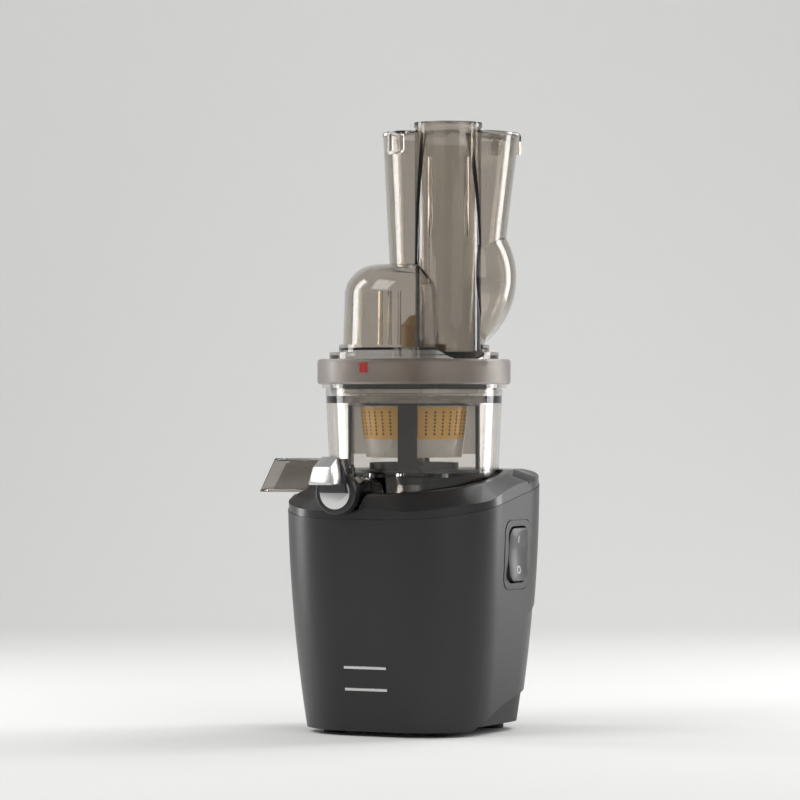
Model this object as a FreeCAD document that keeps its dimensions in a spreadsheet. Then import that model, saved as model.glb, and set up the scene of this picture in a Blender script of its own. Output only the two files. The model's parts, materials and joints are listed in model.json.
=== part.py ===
import FreeCAD, Part
import math
import os

import Sketcher

# Vertical slow juicer: motor base, juicing bowl, strainer, auger and feed hopper.
# Origin on the table at the drive axis, +Z up, front towards -Y, switch side towards +X.
# Millimetres and degrees.

SIZES = {
    # Fits
    "run_fit": 0.08,
    "seat_fit": 0.1,
    "wall_gap": 0.4,
    # Motor base housing
    "foot_rise": 7,
    "foot_radius": 9,
    "foot_circle": 66,
    "pad_radius": 12,
    "skirt_level": 4,
    "low_half": 77,
    "low_corner": 56,
    "waist_level": 62,
    "waist_half": 84,
    "waist_corner": 61,
    "crown_level": 207,
    "crown_half": 91,
    "crown_corner": 66,
    "extra_depth": 1.5,
    "house_wall": 3,
    "seam_level": 186,
    "seam_tilt": 10,
    "arch_radius": 240,
    "arch_centre": 70,
    "arch_rise": 33,
    "wing_level": 82.7,
    "wing_tilt": 19.2,
    "wing_turn": 0.8,
    "wing_front": 42,
    # Bottom tray
    "tray_floor": 3,
    "tray_wall": 2.5,
    "tray_top": 38,
    "vent_length": 26,
    "vent_width": 3,
    "vent_pitch": 7,
    # Badge bars on the front
    "bar_length": 37,
    "bar_height": 2.4,
    "bar_low": 35.8,
    "bar_high": 52.9,
    "bar_sink": 0.8,
    "bar_proud": 0.5,
    # Top deck
    "deck_inset": 0.6,
    "band_height": 6,
    "rim_height": 16,
    "rim_wall": 6,
    "slope_run": 21,
    "deck_wall": 3,
    "well_gap": 3.5,
    "well_level": 177,
    "hub_radius": 15,
    "hub_foot": 158.5,
    "hub_top": 184,
    "rib_count": 11,
    "rib_width": 1.5,
    "rib_pitch": 3,
    "rib_bearing": 66,
    # Motor
    "shaft_radius": 3,
    "shaft_foot": 16,
    "shaft_top": 131,
    "rotor_radius": 22,
    "air_gap": 0.5,
    "stator_radius": 44,
    "stator_low": 48,
    "stator_high": 100,
    "winding_inner": 25,
    "winding_outer": 38,
    "winding_rise": 9,
    "bell_wall": 4,
    "bell_low": 33,
    "bell_high": 115,
    "bell_plate": 3,
    "bearing_radius": 9,
    "bearing_width": 6,
    "fan_radius": 34,
    "fan_level": 19,
    "fan_height": 9,
    "fan_hub": 8,
    "fan_blades": 8,
    "fan_blade": 1.8,
    "post_circle": 40,
    "post_radius": 5,
    "screw_radius": 1.6,
    "screw_head": 3.2,
    "screw_head_rise": 1.6,
    # Gear train
    "gear_module": 1,
    "pinion_teeth": 11,
    "wheel_teeth": 55,
    "pinion_shift": 0.36,
    "gear_play": 0.14,
    "pressure_angle": 20,
    "first_level": 120.5,
    "first_width": 9,
    "second_level": 133,
    "second_width": 12,
    "case_wall": 3,
    "case_room": 2.5,
    "case_top": 150,
    "cover_plate": 4,
    "axle_radius": 3,
    # Drive shaft
    "drive_radius": 8,
    "drive_foot": 132,
    "hex_level": 185,
    "hex_top": 212,
    "hex_flats": 10,
    "hex_fit": 0.25,
    "bush_wall": 3,
    "bush_low": 166,
    "seal_rise": 2.5,
    "seal_radius": 13,
    "output_bearing": 14,
    # Control board and cord gland
    "board_width": 52,
    "board_low": 52,
    "board_high": 104,
    "board_depth": 58,
    "board_plate": 1.8,
    "can_radius": 9,
    "can_length": 15,
    "can_shift": 13,
    "terminal_width": 17,
    "board_post": 4,
    "gland_offset": 44,
    "gland_radius": 9.5,
    "gland_neck": 7,
    "gland_bore": 3.6,
    "gland_rim": 4,
    "gland_length": 16,
    "gland_sink": 6,
    "gland_tip": 5.4,
    # Power rocker on the right side
    "bezel_length": 54,
    "bezel_width": 46,
    "bezel_level": 141,
    "bezel_shift": 3,
    "bezel_inner": 76,
    "bezel_proud": 0.3,
    "bezel_border": 6,
    "bezel_end": 4.5,
    "bezel_corner": 10,
    "bezel_groove": 0.8,
    "groove_depth": 1,
    "opening_corner": 8,
    "rocker_outer": 92,
    "rocker_inner": 80,
    "rocker_axis": 83,
    "rocker_gap": 1.6,
    "rocker_dip": 2.4,
    "rocker_round": 70,
    "pin_radius": 1.5,
    "pin_sink": 3,
    "block_depth": 14,
    "block_lap": 2,
    # Juicing bowl
    "bowl_wall": 3,
    "bowl_low_radius": 67.5,
    "foot_draft": 1,
    "top_draft": 3,
    "bowl_floor_level": 202,
    "floor_plate": 3,
    "bowl_top_level": 272,
    "flange_width": 3,
    "flange_rise": 3,
    "ledge_level": 268,
    "ledge_wall": 3.9,
    "bead_width": 1.7,
    "bead_level": 266,
    "bead_slope": 6,
    "bowl_hub_bore": 11,
    "bowl_hub_wall": 3.5,
    "bowl_hub_foot": 189,
    "hub_seal_low": 196,
    "hub_seal_high": 203,
    # Locking collar and bayonet
    "collar_wall": 5.5,
    "collar_top": 295,
    "collar_round": 2.5,
    "groove_room": 1,
    "lip_gap": 0.6,
    "lip_depth": 6,
    "lug_depth": 3.2,
    "lug_height": 3.6,
    "lug_gap": 0.8,
    "lug_sweep": 26,
    "slot_sweep": 33,
    "unlock_angle": 35,
    "lug_bearing": 90,
    # Juice spout and cap
    "spout_shift": 15.5,
    "spout_level": 190.8,
    "spout_radius": 11.8,
    "spout_bore": 8.5,
    "spout_root": 40,
    "spout_tip": 97,
    "drain_radius": 7,
    "drain_reach": 51,
    "cap_radius": 17.5,
    "cap_depth": 8,
    "cap_round": 1.5,
    "seal_disc": 13,
    "seal_depth": 2.5,
    "hinge_reach": 91,
    "hinge_level": 208.5,
    "knuckle_radius": 4,
    "lug_width": 3,
    "knuckle_width": 9,
    "crest_level": 217,
    "crest_half": 7.5,
    "brow_half": 11.5,
    "brow_depth": 13,
    "disc_radius": 13,
    "disc_rise": 1,
    "tab_reach": 131,
    "tab_low": 197,
    "tab_front": 211,
    "tab_crest": 219,
    "tab_low_half": 10,
    "tab_high_half": 6.5,
    "tab_lean": 4,
    "crest_run": 4.3,
    # Pulp chute
    "chute_shift": 20,
    "chute_half": 17,
    "chute_low": 189,
    "chute_high": 216,
    "chute_root": 15.5,
    "chute_tip_high": 106,
    "chute_tip_low": 120,
    "chute_wall": 2.2,
    "notch_gap": 1.5,
    # Strainer
    "sieve_low_level": 217,
    "sieve_low_radius": 38,
    "sieve_high_radius": 44,
    "sieve_wall": 1.6,
    "sieve_hole": 17,
    "sieve_plate": 2.5,
    "sieve_flange": 3,
    "mesh_low": 231.5,
    "mesh_high": 257,
    "mesh_slots": 36,
    "mesh_slot_width": 1.4,
    "mesh_margin": 3,
    "pulp_slot_inner": 18,
    "pulp_slot_outer": 27,
    "pulp_slot_near": 6.5,
    "pulp_slot_far": 15,
    # Auger, idler and wiper
    "neck_radius": 8.5,
    "neck_foot": 189.5,
    "wiper_module": 1.5,
    "sun_teeth": 16,
    "idler_teeth": 12,
    "wiper_play": 0.24,
    "wiper_gear_rise": 1.2,
    "wiper_gear_width": 6.5,
    "idler_pin_radius": 2.5,
    "ring_wall": 3.6,
    "web_rise": 0.4,
    "web_plate": 2.2,
    "cage_inner": 49.5,
    "cage_outer": 52.5,
    "cage_top": 262,
    "cage_ring": 4,
    "cage_bars": 4,
    "cage_turn": -69,
    "cage_bar_width": 15,
    "blade_width": 2.2,
    "blade_gap": 0.5,
    "core_low_radius": 30,
    "core_high_radius": 20,
    "core_high_level": 266,
    "core_gap": 0.8,
    "spindle_radius": 10,
    "spindle_level": 296,
    "spindle_top": 322,
    "tip_radius": 3,
    "tip_rise": 8,
    "flight_pitch": 30,
    "flight_low": 222,
    "flight_high": 290,
    "flight_plate": 4,
    "flight_gap": 0.8,
    # Lid drum
    "lid_wall": 2.4,
    "skirt_foot": 277,
    "gasket_width": 5,
    "lid_flange_width": 1.3,
    "lid_flange_rise": 5,
    "step_radius": 60,
    "step_rise": 6,
    "drum_radius": 56.5,
    "drum_high_radius": 55,
    "shoulder_level": 354,
    "dome_radius": 42,
    "dome_level": 370,
    "dome_top": 371,
    "dome_round": 24,
    "drum_rib": 1.6,
    "drum_rib_depth": 6,
    "drum_rib_low": 306,
    "drum_rib_high": 348,
    "drum_rib_count": 3,
    "drum_rib_bearing": -4,
    "drum_rib_step": 9,
    # Wide chute
    "neck_x": 21.2,
    "neck_y": 13.3,
    "mouth_x": 25.2,
    "mouth_y": 15.3,
    "neck_level": 350,
    "neck_round": 43.5,
    "mouth_level": 472,
    "mouth_round": 54,
    "belly_x": 31.1,
    "belly_y": 18.4,
    "belly_reach": 62.4,
    "belly_level": 347,
    "belly_round": 65.6,
    "belly_low_radius": 18.7,
    "belly_low_level": 306.6,
    "belly_high_radius": 33.4,
    "belly_high_level": 399,
    # Narrow feed tube
    "tube_x": 36.7,
    "tube_y": -13.1,
    "tube_radius": 26,
    "tube_wall": 2.2,
    "tube_top": 481.5,
    "tube_rim": 1,
    "tube_rim_rise": 4,
    "guide_low": 392,
    "guide_high": 454,
    "guide_bearing": 27,
    "guide_spread": 38,
    "guide_depth": 3,
    "guide_width": 2,
    # Chute lid
    "flap_plate": 2.4,
    "flap_crown": 4,
    "flap_gap": 0.4,
    "flap_bearing": 24.5,
    "flap_slot_gap": 1.6,
    "flap_hinge": 59,
    "flap_hinge_rise": 2,
    "flap_knuckle": 3,
    "flap_knuckle_half": 9,
    "flap_lug": 4,
    "ear_lap": 8,
    "ear_drop": 12,
    "flap_pin": 1.4,
    "grip_width": 18,
    "grip_drop": 18,
    "grip_plate": 3,
    "grip_border": 3,
    "grip_lap": 6,
    "knob_radius": 3.2,
    "knob_rise": 8,
    "knob_turn": 14,
    # Lock mark
    "mark_width": 7,
    "mark_height": 8,
    "mark_proud": 0.6,
    "mark_level": 288,
    "mark_bearing": -4,
}

VERTICAL = FreeCAD.Vector(0, 0, 1)
SIDEWAYS = FreeCAD.Vector(1, 0, 0)
BACKWARD = FreeCAD.Vector(0, 1, 0)

doc = FreeCAD.newDocument("slow_juicer")
sheet = doc.addObject("Spreadsheet::Sheet", "Sizes")
pieces = {}


class Size:
    """A length or angle with its value now and the sheet expression that gives it."""

    def __init__(self, value, text):
        self.value = float(value)
        self.text = text

    def _join(self, other, sign, value):
        return Size(value, f"({self.text} {sign} {as_size(other).text})")

    def __add__(self, other):
        return self._join(other, "+", self.value + as_size(other).value)

    def __sub__(self, other):
        return self._join(other, "-", self.value - as_size(other).value)

    def __mul__(self, other):
        return self._join(other, "*", self.value * as_size(other).value)

    def __truediv__(self, other):
        return self._join(other, "/", self.value / as_size(other).value)

    def __radd__(self, other):
        return as_size(other) + self

    def __rsub__(self, other):
        return as_size(other) - self

    def __rmul__(self, other):
        return as_size(other) * self

    def __neg__(self):
        return Size(-self.value, f"(0 - {self.text})")


class SheetSizes:
    """Gives each sheet alias as a Size."""

    def __getattr__(self, alias):
        return Size(SIZES[alias], f"Sizes.{alias}")


S = SheetSizes()


def as_size(item):
    return item if isinstance(item, Size) else Size(item, repr(float(item)))


def fill_sheet():
    for row, (alias, value) in enumerate(SIZES.items(), start=1):
        sheet.set(f"A{row}", alias)
        sheet.set(f"B{row}", str(value))
        sheet.setAlias(f"B{row}", alias)
    doc.recompute()


def bind(item, prop, size):
    item.setExpression(prop, as_size(size).text)


def place(item, x=0, y=0, z=0, axis=VERTICAL, angle=0):
    """Sets a placement whose base follows the sheet, with a fixed turn about one axis."""
    spot = [as_size(value) for value in (x, y, z)]
    base = FreeCAD.Vector(*[value.value for value in spot])
    item.Placement = FreeCAD.Placement(base, FreeCAD.Rotation(axis, as_size(angle).value))
    for letter, value in zip("xyz", spot):
        bind(item, f"Placement.Base.{letter}", value)
    return item


def keep(item, name):
    """Registers a finished sub-part under its node name."""
    item.Label = name
    pieces[name] = item
    return item


# Sketch and body helpers


def new_body(name):
    body = doc.addObject("PartDesign::Body", name)
    body.AllowCompound = True
    return body


def origin_feature(body, role):
    return next(item for item in body.Origin.OriginFeatures if item.Role == role)


def new_sketch(body, role, offset=0):
    sketch = body.newObject("Sketcher::SketchObject", f"{body.Name}_sketch")
    sketch.AttachmentSupport = [(origin_feature(body, role), "")]
    sketch.MapMode = "FlatFace"
    bind(sketch, "AttachmentOffset.Base.z", offset)
    return sketch


def pin_point(sketch, shape, end, x, y):
    """Ties a point of the sketch to coordinates from the sheet."""
    for kind, size, axis in (("DistanceX", as_size(x), -2), ("DistanceY", as_size(y), -1)):
        if size.value == 0:
            sketch.addConstraint(Sketcher.Constraint("PointOnObject", shape, end, axis))
            continue
        index = sketch.addConstraint(Sketcher.Constraint(kind, -1, 1, shape, end, size.value))
        bind(sketch, f"Constraints[{index}]", size)


def tie_radius(sketch, shape, radius):
    index = sketch.addConstraint(Sketcher.Constraint("Radius", shape, as_size(radius).value))
    bind(sketch, f"Constraints[{index}]", radius)


def draw_circle(sketch, x, y, radius):
    centre = FreeCAD.Vector(as_size(x).value, as_size(y).value, 0)
    shape = sketch.addGeometry(Part.Circle(centre, VERTICAL, as_size(radius).value), False)
    if as_size(x).value == 0 and as_size(y).value == 0:
        sketch.addConstraint(Sketcher.Constraint("Coincident", shape, 3, -1, 1))
    else:
        pin_point(sketch, shape, 3, x, y)
    tie_radius(sketch, shape, radius)


def corner_round(before, spot, after, radius):
    """Returns the two tangent points and the centre of a rounded corner."""
    back = (before - spot).normalize()
    ahead = (after - spot).normalize()
    half = back.getAngle(ahead) / 2
    trim = radius / math.tan(half)
    centre = spot + (back + ahead).normalize() * (radius / math.sin(half))
    return spot + back * trim, spot + ahead * trim, centre


def draw_outline(sketch, corners):
    """Draws a closed outline of lines; a corner's third value, if any, rounds it."""
    count = len(corners)
    spots = [FreeCAD.Vector(as_size(c[0]).value, as_size(c[1]).value, 0) for c in corners]
    entries, exits, centres = list(spots), list(spots), [None] * count
    for turn, corner in enumerate(corners):
        if len(corner) > 2:
            before, after = spots[turn - 1], spots[(turn + 1) % count]
            trimmed = corner_round(before, spots[turn], after, as_size(corner[2]).value)
            entries[turn], exits[turn], centres[turn] = trimmed
    lines = []
    for turn in range(count):
        segment = Part.LineSegment(exits[turn], entries[(turn + 1) % count])
        lines.append(sketch.addGeometry(segment, False))
    for turn, corner in enumerate(corners):
        before, after = lines[turn - 1], lines[turn]
        if centres[turn] is None:
            sketch.addConstraint(Sketcher.Constraint("Coincident", before, 2, after, 1))
            pin_point(sketch, after, 1, corner[0], corner[1])
            continue
        round_corner(sketch, corner, spots[turn], (before, after),
                     (entries[turn], exits[turn], centres[turn]))


def round_corner(sketch, corner, spot, sides, trimmed):
    entry, leave, centre = trimmed
    leftward = (spot - entry).cross(leave - spot).z > 0
    first, last = (entry, leave) if leftward else (leave, entry)
    start = math.atan2(first.y - centre.y, first.x - centre.x)
    stop = math.atan2(last.y - centre.y, last.x - centre.x)
    if stop < start:
        stop += 2 * math.pi
    circle = Part.Circle(centre, VERTICAL, as_size(corner[2]).value)
    arc = sketch.addGeometry(Part.ArcOfCircle(circle, start, stop), False)
    tip = sketch.addGeometry(Part.Point(spot), True)
    pin_point(sketch, tip, 1, corner[0], corner[1])
    ends = (1, 2) if leftward else (2, 1)
    sketch.addConstraint(Sketcher.Constraint("Tangent", sides[0], 2, arc, ends[0]))
    sketch.addConstraint(Sketcher.Constraint("Tangent", arc, ends[1], sides[1], 1))
    sketch.addConstraint(Sketcher.Constraint("PointOnObject", tip, 1, sides[0]))
    sketch.addConstraint(Sketcher.Constraint("PointOnObject", tip, 1, sides[1]))
    tie_radius(sketch, arc, corner[2])


def rounded_square(half_x, half_y, corner):
    return [(half_x, half_y, corner), (-half_x, half_y, corner), (-half_x, -half_y, corner),
            (half_x, -half_y, corner)]


def lathe(name, corners):
    """A body turned about its own Z axis from an outline of radius and height."""
    body = new_body(name)
    sketch = new_sketch(body, "XZ_Plane")
    draw_outline(sketch, corners)
    turn = body.newObject("PartDesign::Revolution", f"{name}_turn")
    turn.Profile = sketch
    turn.ReferenceAxis = (sketch, ["V_Axis"])
    turn.Angle = 360
    return body


def ring(name, inner, outer, low, high):
    return lathe(name, [(inner, low), (outer, low), (outer, high), (inner, high)])


def disc(name, radius, low, high):
    return lathe(name, [(0, low), (radius, low), (radius, high), (0, high)])


def pad(body, sketch, length):
    feature = body.newObject("PartDesign::Pad", f"{body.Name}_pad")
    feature.Profile = sketch
    bind(feature, "Length", length)
    return feature


def prism(name, role, corners, start, length):
    """A body padded from an outline on an origin plane, starting at an offset along its normal."""
    body = new_body(name)
    sketch = new_sketch(body, role, start)
    draw_outline(sketch, corners)
    pad(body, sketch, length)
    return body


def studs(name, circle, stages, count):
    """Equal round studs on a circle; each stage gives its radius, foot and top."""
    body = new_body(name)
    features = []
    for radius, low, high in stages:
        sketch = new_sketch(body, "XY_Plane", low)
        draw_circle(sketch, circle, 0, radius)
        features.append(pad(body, sketch, high - low))
    pattern = body.newObject("PartDesign::PolarPattern", f"{name}_pattern")
    pattern.Originals = features
    pattern.Axis = (origin_feature(body, "Z_Axis"), [""])
    pattern.Angle = 360
    pattern.Occurrences = count
    body.Tip = pattern
    return body


def loft(name, sections):
    """A body lofted through outlines; each section gives its level and corners."""
    body = new_body(name)
    sketches = []
    for level, corners in sections:
        sketch = new_sketch(body, "XY_Plane", level)
        draw_outline(sketch, corners)
        sketches.append(sketch)
    feature = body.newObject("PartDesign::AdditiveLoft", f"{name}_loft")
    feature.Profile = sketches[0]
    feature.Sections = sketches[1:]
    return body


def box(name, x, y, z, frame=None):
    """A block between two limits on each axis, in a turned frame where one is given."""
    block = doc.addObject("Part::Box", name)
    for prop, (low, high) in zip(("Length", "Width", "Height"), (x, y, z)):
        bind(block, prop, as_size(high) - low)
    if frame is None:
        return place(block, x[0], y[0], z[0])
    corner = FreeCAD.Vector(*[as_size(limits[0]).value for limits in (x, y, z)])
    block.Placement = frame.multiply(FreeCAD.Placement(corner, FreeCAD.Rotation()))
    return block


def rod(name, radius, length, x, y, z, axis=VERTICAL, angle=0):
    cylinder = doc.addObject("Part::Cylinder", name)
    bind(cylinder, "Radius", radius)
    bind(cylinder, "Height", length)
    return place(cylinder, x, y, z, axis, angle)


def fuse(name, items):
    joined = doc.addObject("Part::MultiFuse", name)
    joined.Shapes = items
    return joined


def common(name, items):
    shared = doc.addObject("Part::MultiCommon", name)
    shared.Shapes = items
    return shared


def cut(name, base, tools):
    result = doc.addObject("Part::Cut", name)
    result.Base = base
    result.Tool = tools[0] if len(tools) == 1 else fuse(f"{name}_tools", tools)
    return result


def feature(name, shape, x=0, y=0, z=0):
    item = doc.addObject("Part::Feature", name)
    item.Shape = shape
    return place(item, x, y, z)


def polar(radius, bearing):
    """A point in plan, its bearing counted from the front towards the right."""
    angle = math.radians(bearing)
    return radius * math.sin(angle), -radius * math.cos(angle)


def sector(name, inner, outer, low, high, middle, sweep):
    """Part of a ring, its middle given as an angle from +X."""
    body = new_body(name)
    sketch = new_sketch(body, "XZ_Plane")
    draw_outline(sketch, [(inner, low), (outer, low), (outer, high), (inner, high)])
    turn = body.newObject("PartDesign::Revolution", f"{name}_turn")
    turn.Profile = sketch
    turn.ReferenceAxis = (sketch, ["V_Axis"])
    bind(turn, "Angle", sweep)
    return place(body, angle=as_size(middle) - as_size(sweep) / 2)


# Gear teeth


ADDENDUM = 1.0
DEDENDUM = 1.25


def involute(angle):
    return math.tan(angle) - angle


def tooth_half_angle(radius, base, at_base):
    return at_base - involute(math.acos(min(1, base / radius)))


def gear_face(teeth, module, shift, play, turn, addendum=ADDENDUM, dedendum=DEDENDUM):
    """A gear outline with a tooth at the turn: each flank is one arc through three points of its involute."""
    pressure = math.radians(SIZES["pressure_angle"])
    pitch = module * teeth / 2
    base = pitch * math.cos(pressure)
    tip = pitch + module * (addendum + shift)
    root = pitch - module * (dedendum - shift)
    half = (math.pi / 2 + 2 * shift * math.tan(pressure)) / teeth - play / (2 * pitch)
    at_base = half + involute(pressure)
    foot = max(base, root)

    def point(radius, angle):
        return FreeCAD.Vector(radius * math.cos(angle), radius * math.sin(angle), 0)

    def flank(side, middle):
        radii = (foot, (foot + tip) / 2, tip)
        return [point(r, middle + side * tooth_half_angle(r, base, at_base)) for r in radii]

    edges = []
    step = 2 * math.pi / teeth
    foot_half = tooth_half_angle(foot, base, at_base)
    for tooth in range(teeth):
        middle = tooth * step + math.radians(turn)
        rise = flank(-1, middle)
        fall = flank(1, middle)[::-1]
        low = [point(root, middle - foot_half), point(root, middle + foot_half)]
        if root < base:
            edges.append(Part.makeLine(low[0], rise[0]))
        edges.append(Part.Arc(*rise).toShape())
        edges.append(Part.Arc(rise[2], point(tip, middle), fall[0]).toShape())
        edges.append(Part.Arc(*fall).toShape())
        if root < base:
            edges.append(Part.makeLine(fall[2], low[1]))
        following = point(root, middle + step - foot_half)
        edges.append(Part.Arc(low[1], point(root, middle + step / 2), following).toShape())
    return Part.Face(Part.Wire(edges))


def spur_gear(teeth, module, shift, play, bore, width, turn):
    """A spur gear on the origin with its bore, turned so that it meshes."""
    blank = gear_face(teeth, module, shift, play, turn).extrude(VERTICAL * width)
    return blank.cut(Part.makeCylinder(bore, width))


# Motor base


def house_form(name, inset):
    """The base's rounded-square form, drawn in by an inset all round."""
    stations = (
        (S.skirt_level, S.low_half, S.low_corner),
        (S.waist_level, S.waist_half, S.waist_corner),
        (S.crown_level, S.crown_half, S.crown_corner),
    )
    sections = []
    for level, half, corner in stations:
        outline = rounded_square(half - inset, half + S.extra_depth - inset, corner - inset)
        sections.append((level, outline))
    return loft(name, sections)


def seam_frame():
    """The tilted plane on which housing and deck meet, at the drive axis."""
    tilt = FreeCAD.Rotation(SIDEWAYS, SIZES["seam_tilt"])
    return FreeCAD.Placement(FreeCAD.Vector(0, 0, SIZES["seam_level"]), tilt)


def tilted(item):
    """Puts an item's own frame on the tilted seam plane at the drive axis."""
    return place(item, z=S.seam_level, axis=SIDEWAYS, angle=S.seam_tilt)


def build_housing():
    shell = cut("housing_shell", house_form("housing_outer", as_size(0)),
                [house_form("housing_inner", S.house_wall)])
    reach = 2 * (S.crown_half + S.extra_depth)
    above = box("housing_seam", (-reach, reach), (-reach, reach), (-S.seat_fit, reach), seam_frame())
    arch = rod("housing_arch", S.arch_radius, 2 * reach, -reach, S.arch_centre,
               S.arch_rise - S.arch_radius, BACKWARD, 90)
    hole = bezel_block("housing_switch_hole", S.seat_fit, S.crown_half - S.bezel_inner)
    groove_block = bezel_block("housing_groove_block", S.bezel_groove, S.crown_half - S.bezel_inner)
    groove = cut("housing_switch_groove", groove_block, [house_form("housing_groove_floor", S.groove_depth)])
    pockets = [badge_block(f"housing_bar_pocket_{level.value}", level, S.seat_fit)
               for level in (S.bar_low, S.bar_high)]
    gland_hole = rod("housing_gland_hole", S.gland_neck + S.seat_fit, reach, S.gland_offset,
                     gland_seat() - S.gland_sink, S.waist_level, SIDEWAYS, -90)
    gland_rim = rod("housing_gland_rim", S.gland_radius + S.seat_fit, reach, S.gland_offset,
                    gland_seat(), S.waist_level, SIDEWAYS, -90)
    tools = [above, arch, hole, groove, gland_hole, gland_rim] + housing_wings(reach) + pockets
    keep(cut("base_housing", shell, tools), "base_housing")


def housing_wings(reach):
    """The shallow recesses below the slanted crease, deepening from the front corners to the back."""
    slant = FreeCAD.Placement(FreeCAD.Vector(0, 0, SIZES["wing_level"]),
                              FreeCAD.Rotation(SIDEWAYS, SIZES["wing_tilt"]))
    swing = math.sin(math.radians(SIZES["wing_turn"]))
    wings = []
    for side, span in ((1, (0, reach)), (-1, (-reach, 0))):
        room = box(f"housing_wing_room_{side}", span, (-reach, reach), (-reach, 0), slant)
        form = house_form(f"housing_wing_form_{side}", as_size(0))
        place(form, -side * swing * S.wing_front, -swing * S.waist_half, 0, VERTICAL, side * S.wing_turn)
        wings.append(cut(f"housing_wing_{side}", room, [form]))
    return wings


def front_reach(level):
    """How far the housing's front stands out at a level below its waist."""
    share = (level - S.skirt_level) / (S.waist_level - S.skirt_level)
    return S.low_half + S.extra_depth + (S.waist_half - S.low_half) * share


def gland_seat():
    return S.waist_half + S.extra_depth - S.house_wall / 2


def badge_block(name, level, gap):
    """The room of one badge bar, from its flat seat outwards."""
    seat = front_reach(level) - S.bar_sink
    return box(name, (-S.bar_length / 2 - gap, S.bar_length / 2 + gap), (-S.crown_half, -seat),
               (level - gap, level + S.bar_height + gap))


def build_badge_bars():
    bars = [badge_block(f"badge_bar_{level.value}", level, as_size(0)) for level in (S.bar_low, S.bar_high)]
    skin = house_form("badge_skin", -S.bar_proud)
    keep(common("badge_bars", [fuse("badge_bar_pair", bars), skin]), "badge_bars")


def build_tray():
    inset = S.house_wall + S.wall_gap
    wide = 2 * S.crown_half
    band = box("tray_band", (-wide, wide), (-wide, wide), (S.foot_rise, S.tray_top))
    outer = common("tray_outer", [house_form("tray_form", inset), band])
    room = box("tray_room", (-wide, wide), (-wide, wide), (S.foot_rise + S.tray_floor, S.crown_level))
    inner = common("tray_inner", [house_form("tray_hollow", inset + S.tray_wall), room])
    dish = cut("tray_dish", outer, [inner])
    floor = S.foot_rise + S.tray_floor
    posts = place(studs("tray_posts", S.post_circle, [(S.post_radius, floor, S.bell_low)], 4), angle=45)
    board_posts = []
    for side in (-1, 1):
        middle = side * S.board_width / 4
        board_posts.append(box(f"tray_board_post_{side}",
                               (middle - S.board_post / 2, middle + S.board_post / 2),
                               (S.board_depth - S.board_post, S.board_depth + S.board_plate),
                               (floor, S.board_low)))
    holes = place(studs("tray_screw_holes", S.post_circle,
                        [(S.screw_radius + S.seat_fit, as_size(0), S.bell_low)], 4), angle=45)
    vents = []
    near = S.pad_radius + S.vent_width
    for index in range(-1, 2):
        span = (index * S.vent_pitch - S.vent_width / 2, index * S.vent_pitch + S.vent_width / 2)
        vents.append(box(f"tray_right_vent_{index}", (near, near + S.vent_length), span,
                         (as_size(0), floor)))
        vents.append(box(f"tray_left_vent_{index}", (-near - S.vent_length, -near), span,
                         (as_size(0), floor)))
    body = fuse("tray_body", [dish, posts] + board_posts)
    keep(cut("base_tray", body, [holes] + vents), "base_tray")
    corner_feet = place(studs("corner_feet", S.foot_circle, [(S.foot_radius, as_size(0), S.foot_rise)], 4),
                        angle=45)
    keep(fuse("rubber_feet", [corner_feet, disc("centre_pad", S.pad_radius, as_size(0), S.foot_rise)]),
         "rubber_feet")
    head = S.foot_rise - S.screw_head_rise
    screws = studs("tray_screws", S.post_circle,
                   [(S.screw_head, head, S.foot_rise), (S.screw_radius, head, S.bell_low)], 4)
    keep(place(screws, angle=45), "tray_screws")


def well_radius():
    return S.bowl_low_radius + S.well_gap


def rim_radius():
    return well_radius() + S.rim_wall


def slope_foot():
    return rim_radius() + S.slope_run


def build_deck():
    edge = slope_foot() + S.rim_height
    slope = tilted(lathe("deck_slope", [
        (0, 0), (edge, 0), (edge, S.band_height), (slope_foot(), S.band_height),
        (rim_radius(), S.rim_height, S.deck_wall), (0, S.rim_height)]))
    cap = common("deck_cap", [house_form("deck_form", S.deck_inset), slope])
    hollow = tilted(lathe("deck_hollow", [
        (0, -S.rim_height), (slope_foot(), -S.rim_height), (slope_foot(), 0),
        (rim_radius() + S.deck_wall, S.band_height), (0, S.band_height)]))
    room = common("deck_room", [house_form("deck_inner", S.deck_inset + S.deck_wall), hollow])
    cup = disc("deck_cup", well_radius() + S.deck_wall, S.well_level - S.deck_wall, S.crown_level)
    ceiling = tilted(disc("deck_ceiling", S.crown_half, -2 * S.crown_half, S.rim_height))
    cup_body = common("deck_cup_body", [cup, ceiling])
    rim = cut("deck_rim", cap, [room])
    hub = disc("deck_hub", S.hub_radius, S.hub_foot, S.hub_top)
    solid = fuse("deck_solid", [rim, cup_body, hub])
    high = S.crown_level + 2 * S.rim_height
    well = ring("deck_well", S.hub_radius, well_radius(), S.well_level, high)
    above_hub = disc("deck_above_hub", S.hub_radius + S.deck_wall, S.hub_top, high)
    bore = disc("deck_bore", S.drive_radius + S.bush_wall, S.hub_foot - S.deck_wall,
                S.hub_top + S.deck_wall)
    spout_half = S.spout_radius + S.notch_gap
    outside, inside = -2 * S.crown_half, -rim_radius() / 2
    spout_notch = box("deck_spout_notch", (-S.spout_shift - spout_half, -S.spout_shift + spout_half),
                      (outside, inside), (S.well_level, high))
    chute_half = S.chute_half + S.notch_gap
    chute_notch = box("deck_chute_notch", (outside, inside),
                      (-S.chute_shift - chute_half, -S.chute_shift + chute_half),
                      (S.chute_low - S.notch_gap, high))
    tools = [well, above_hub, bore, spout_notch, chute_notch] + deck_vents()
    keep(cut("base_deck", solid, tools), "base_deck")


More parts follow.
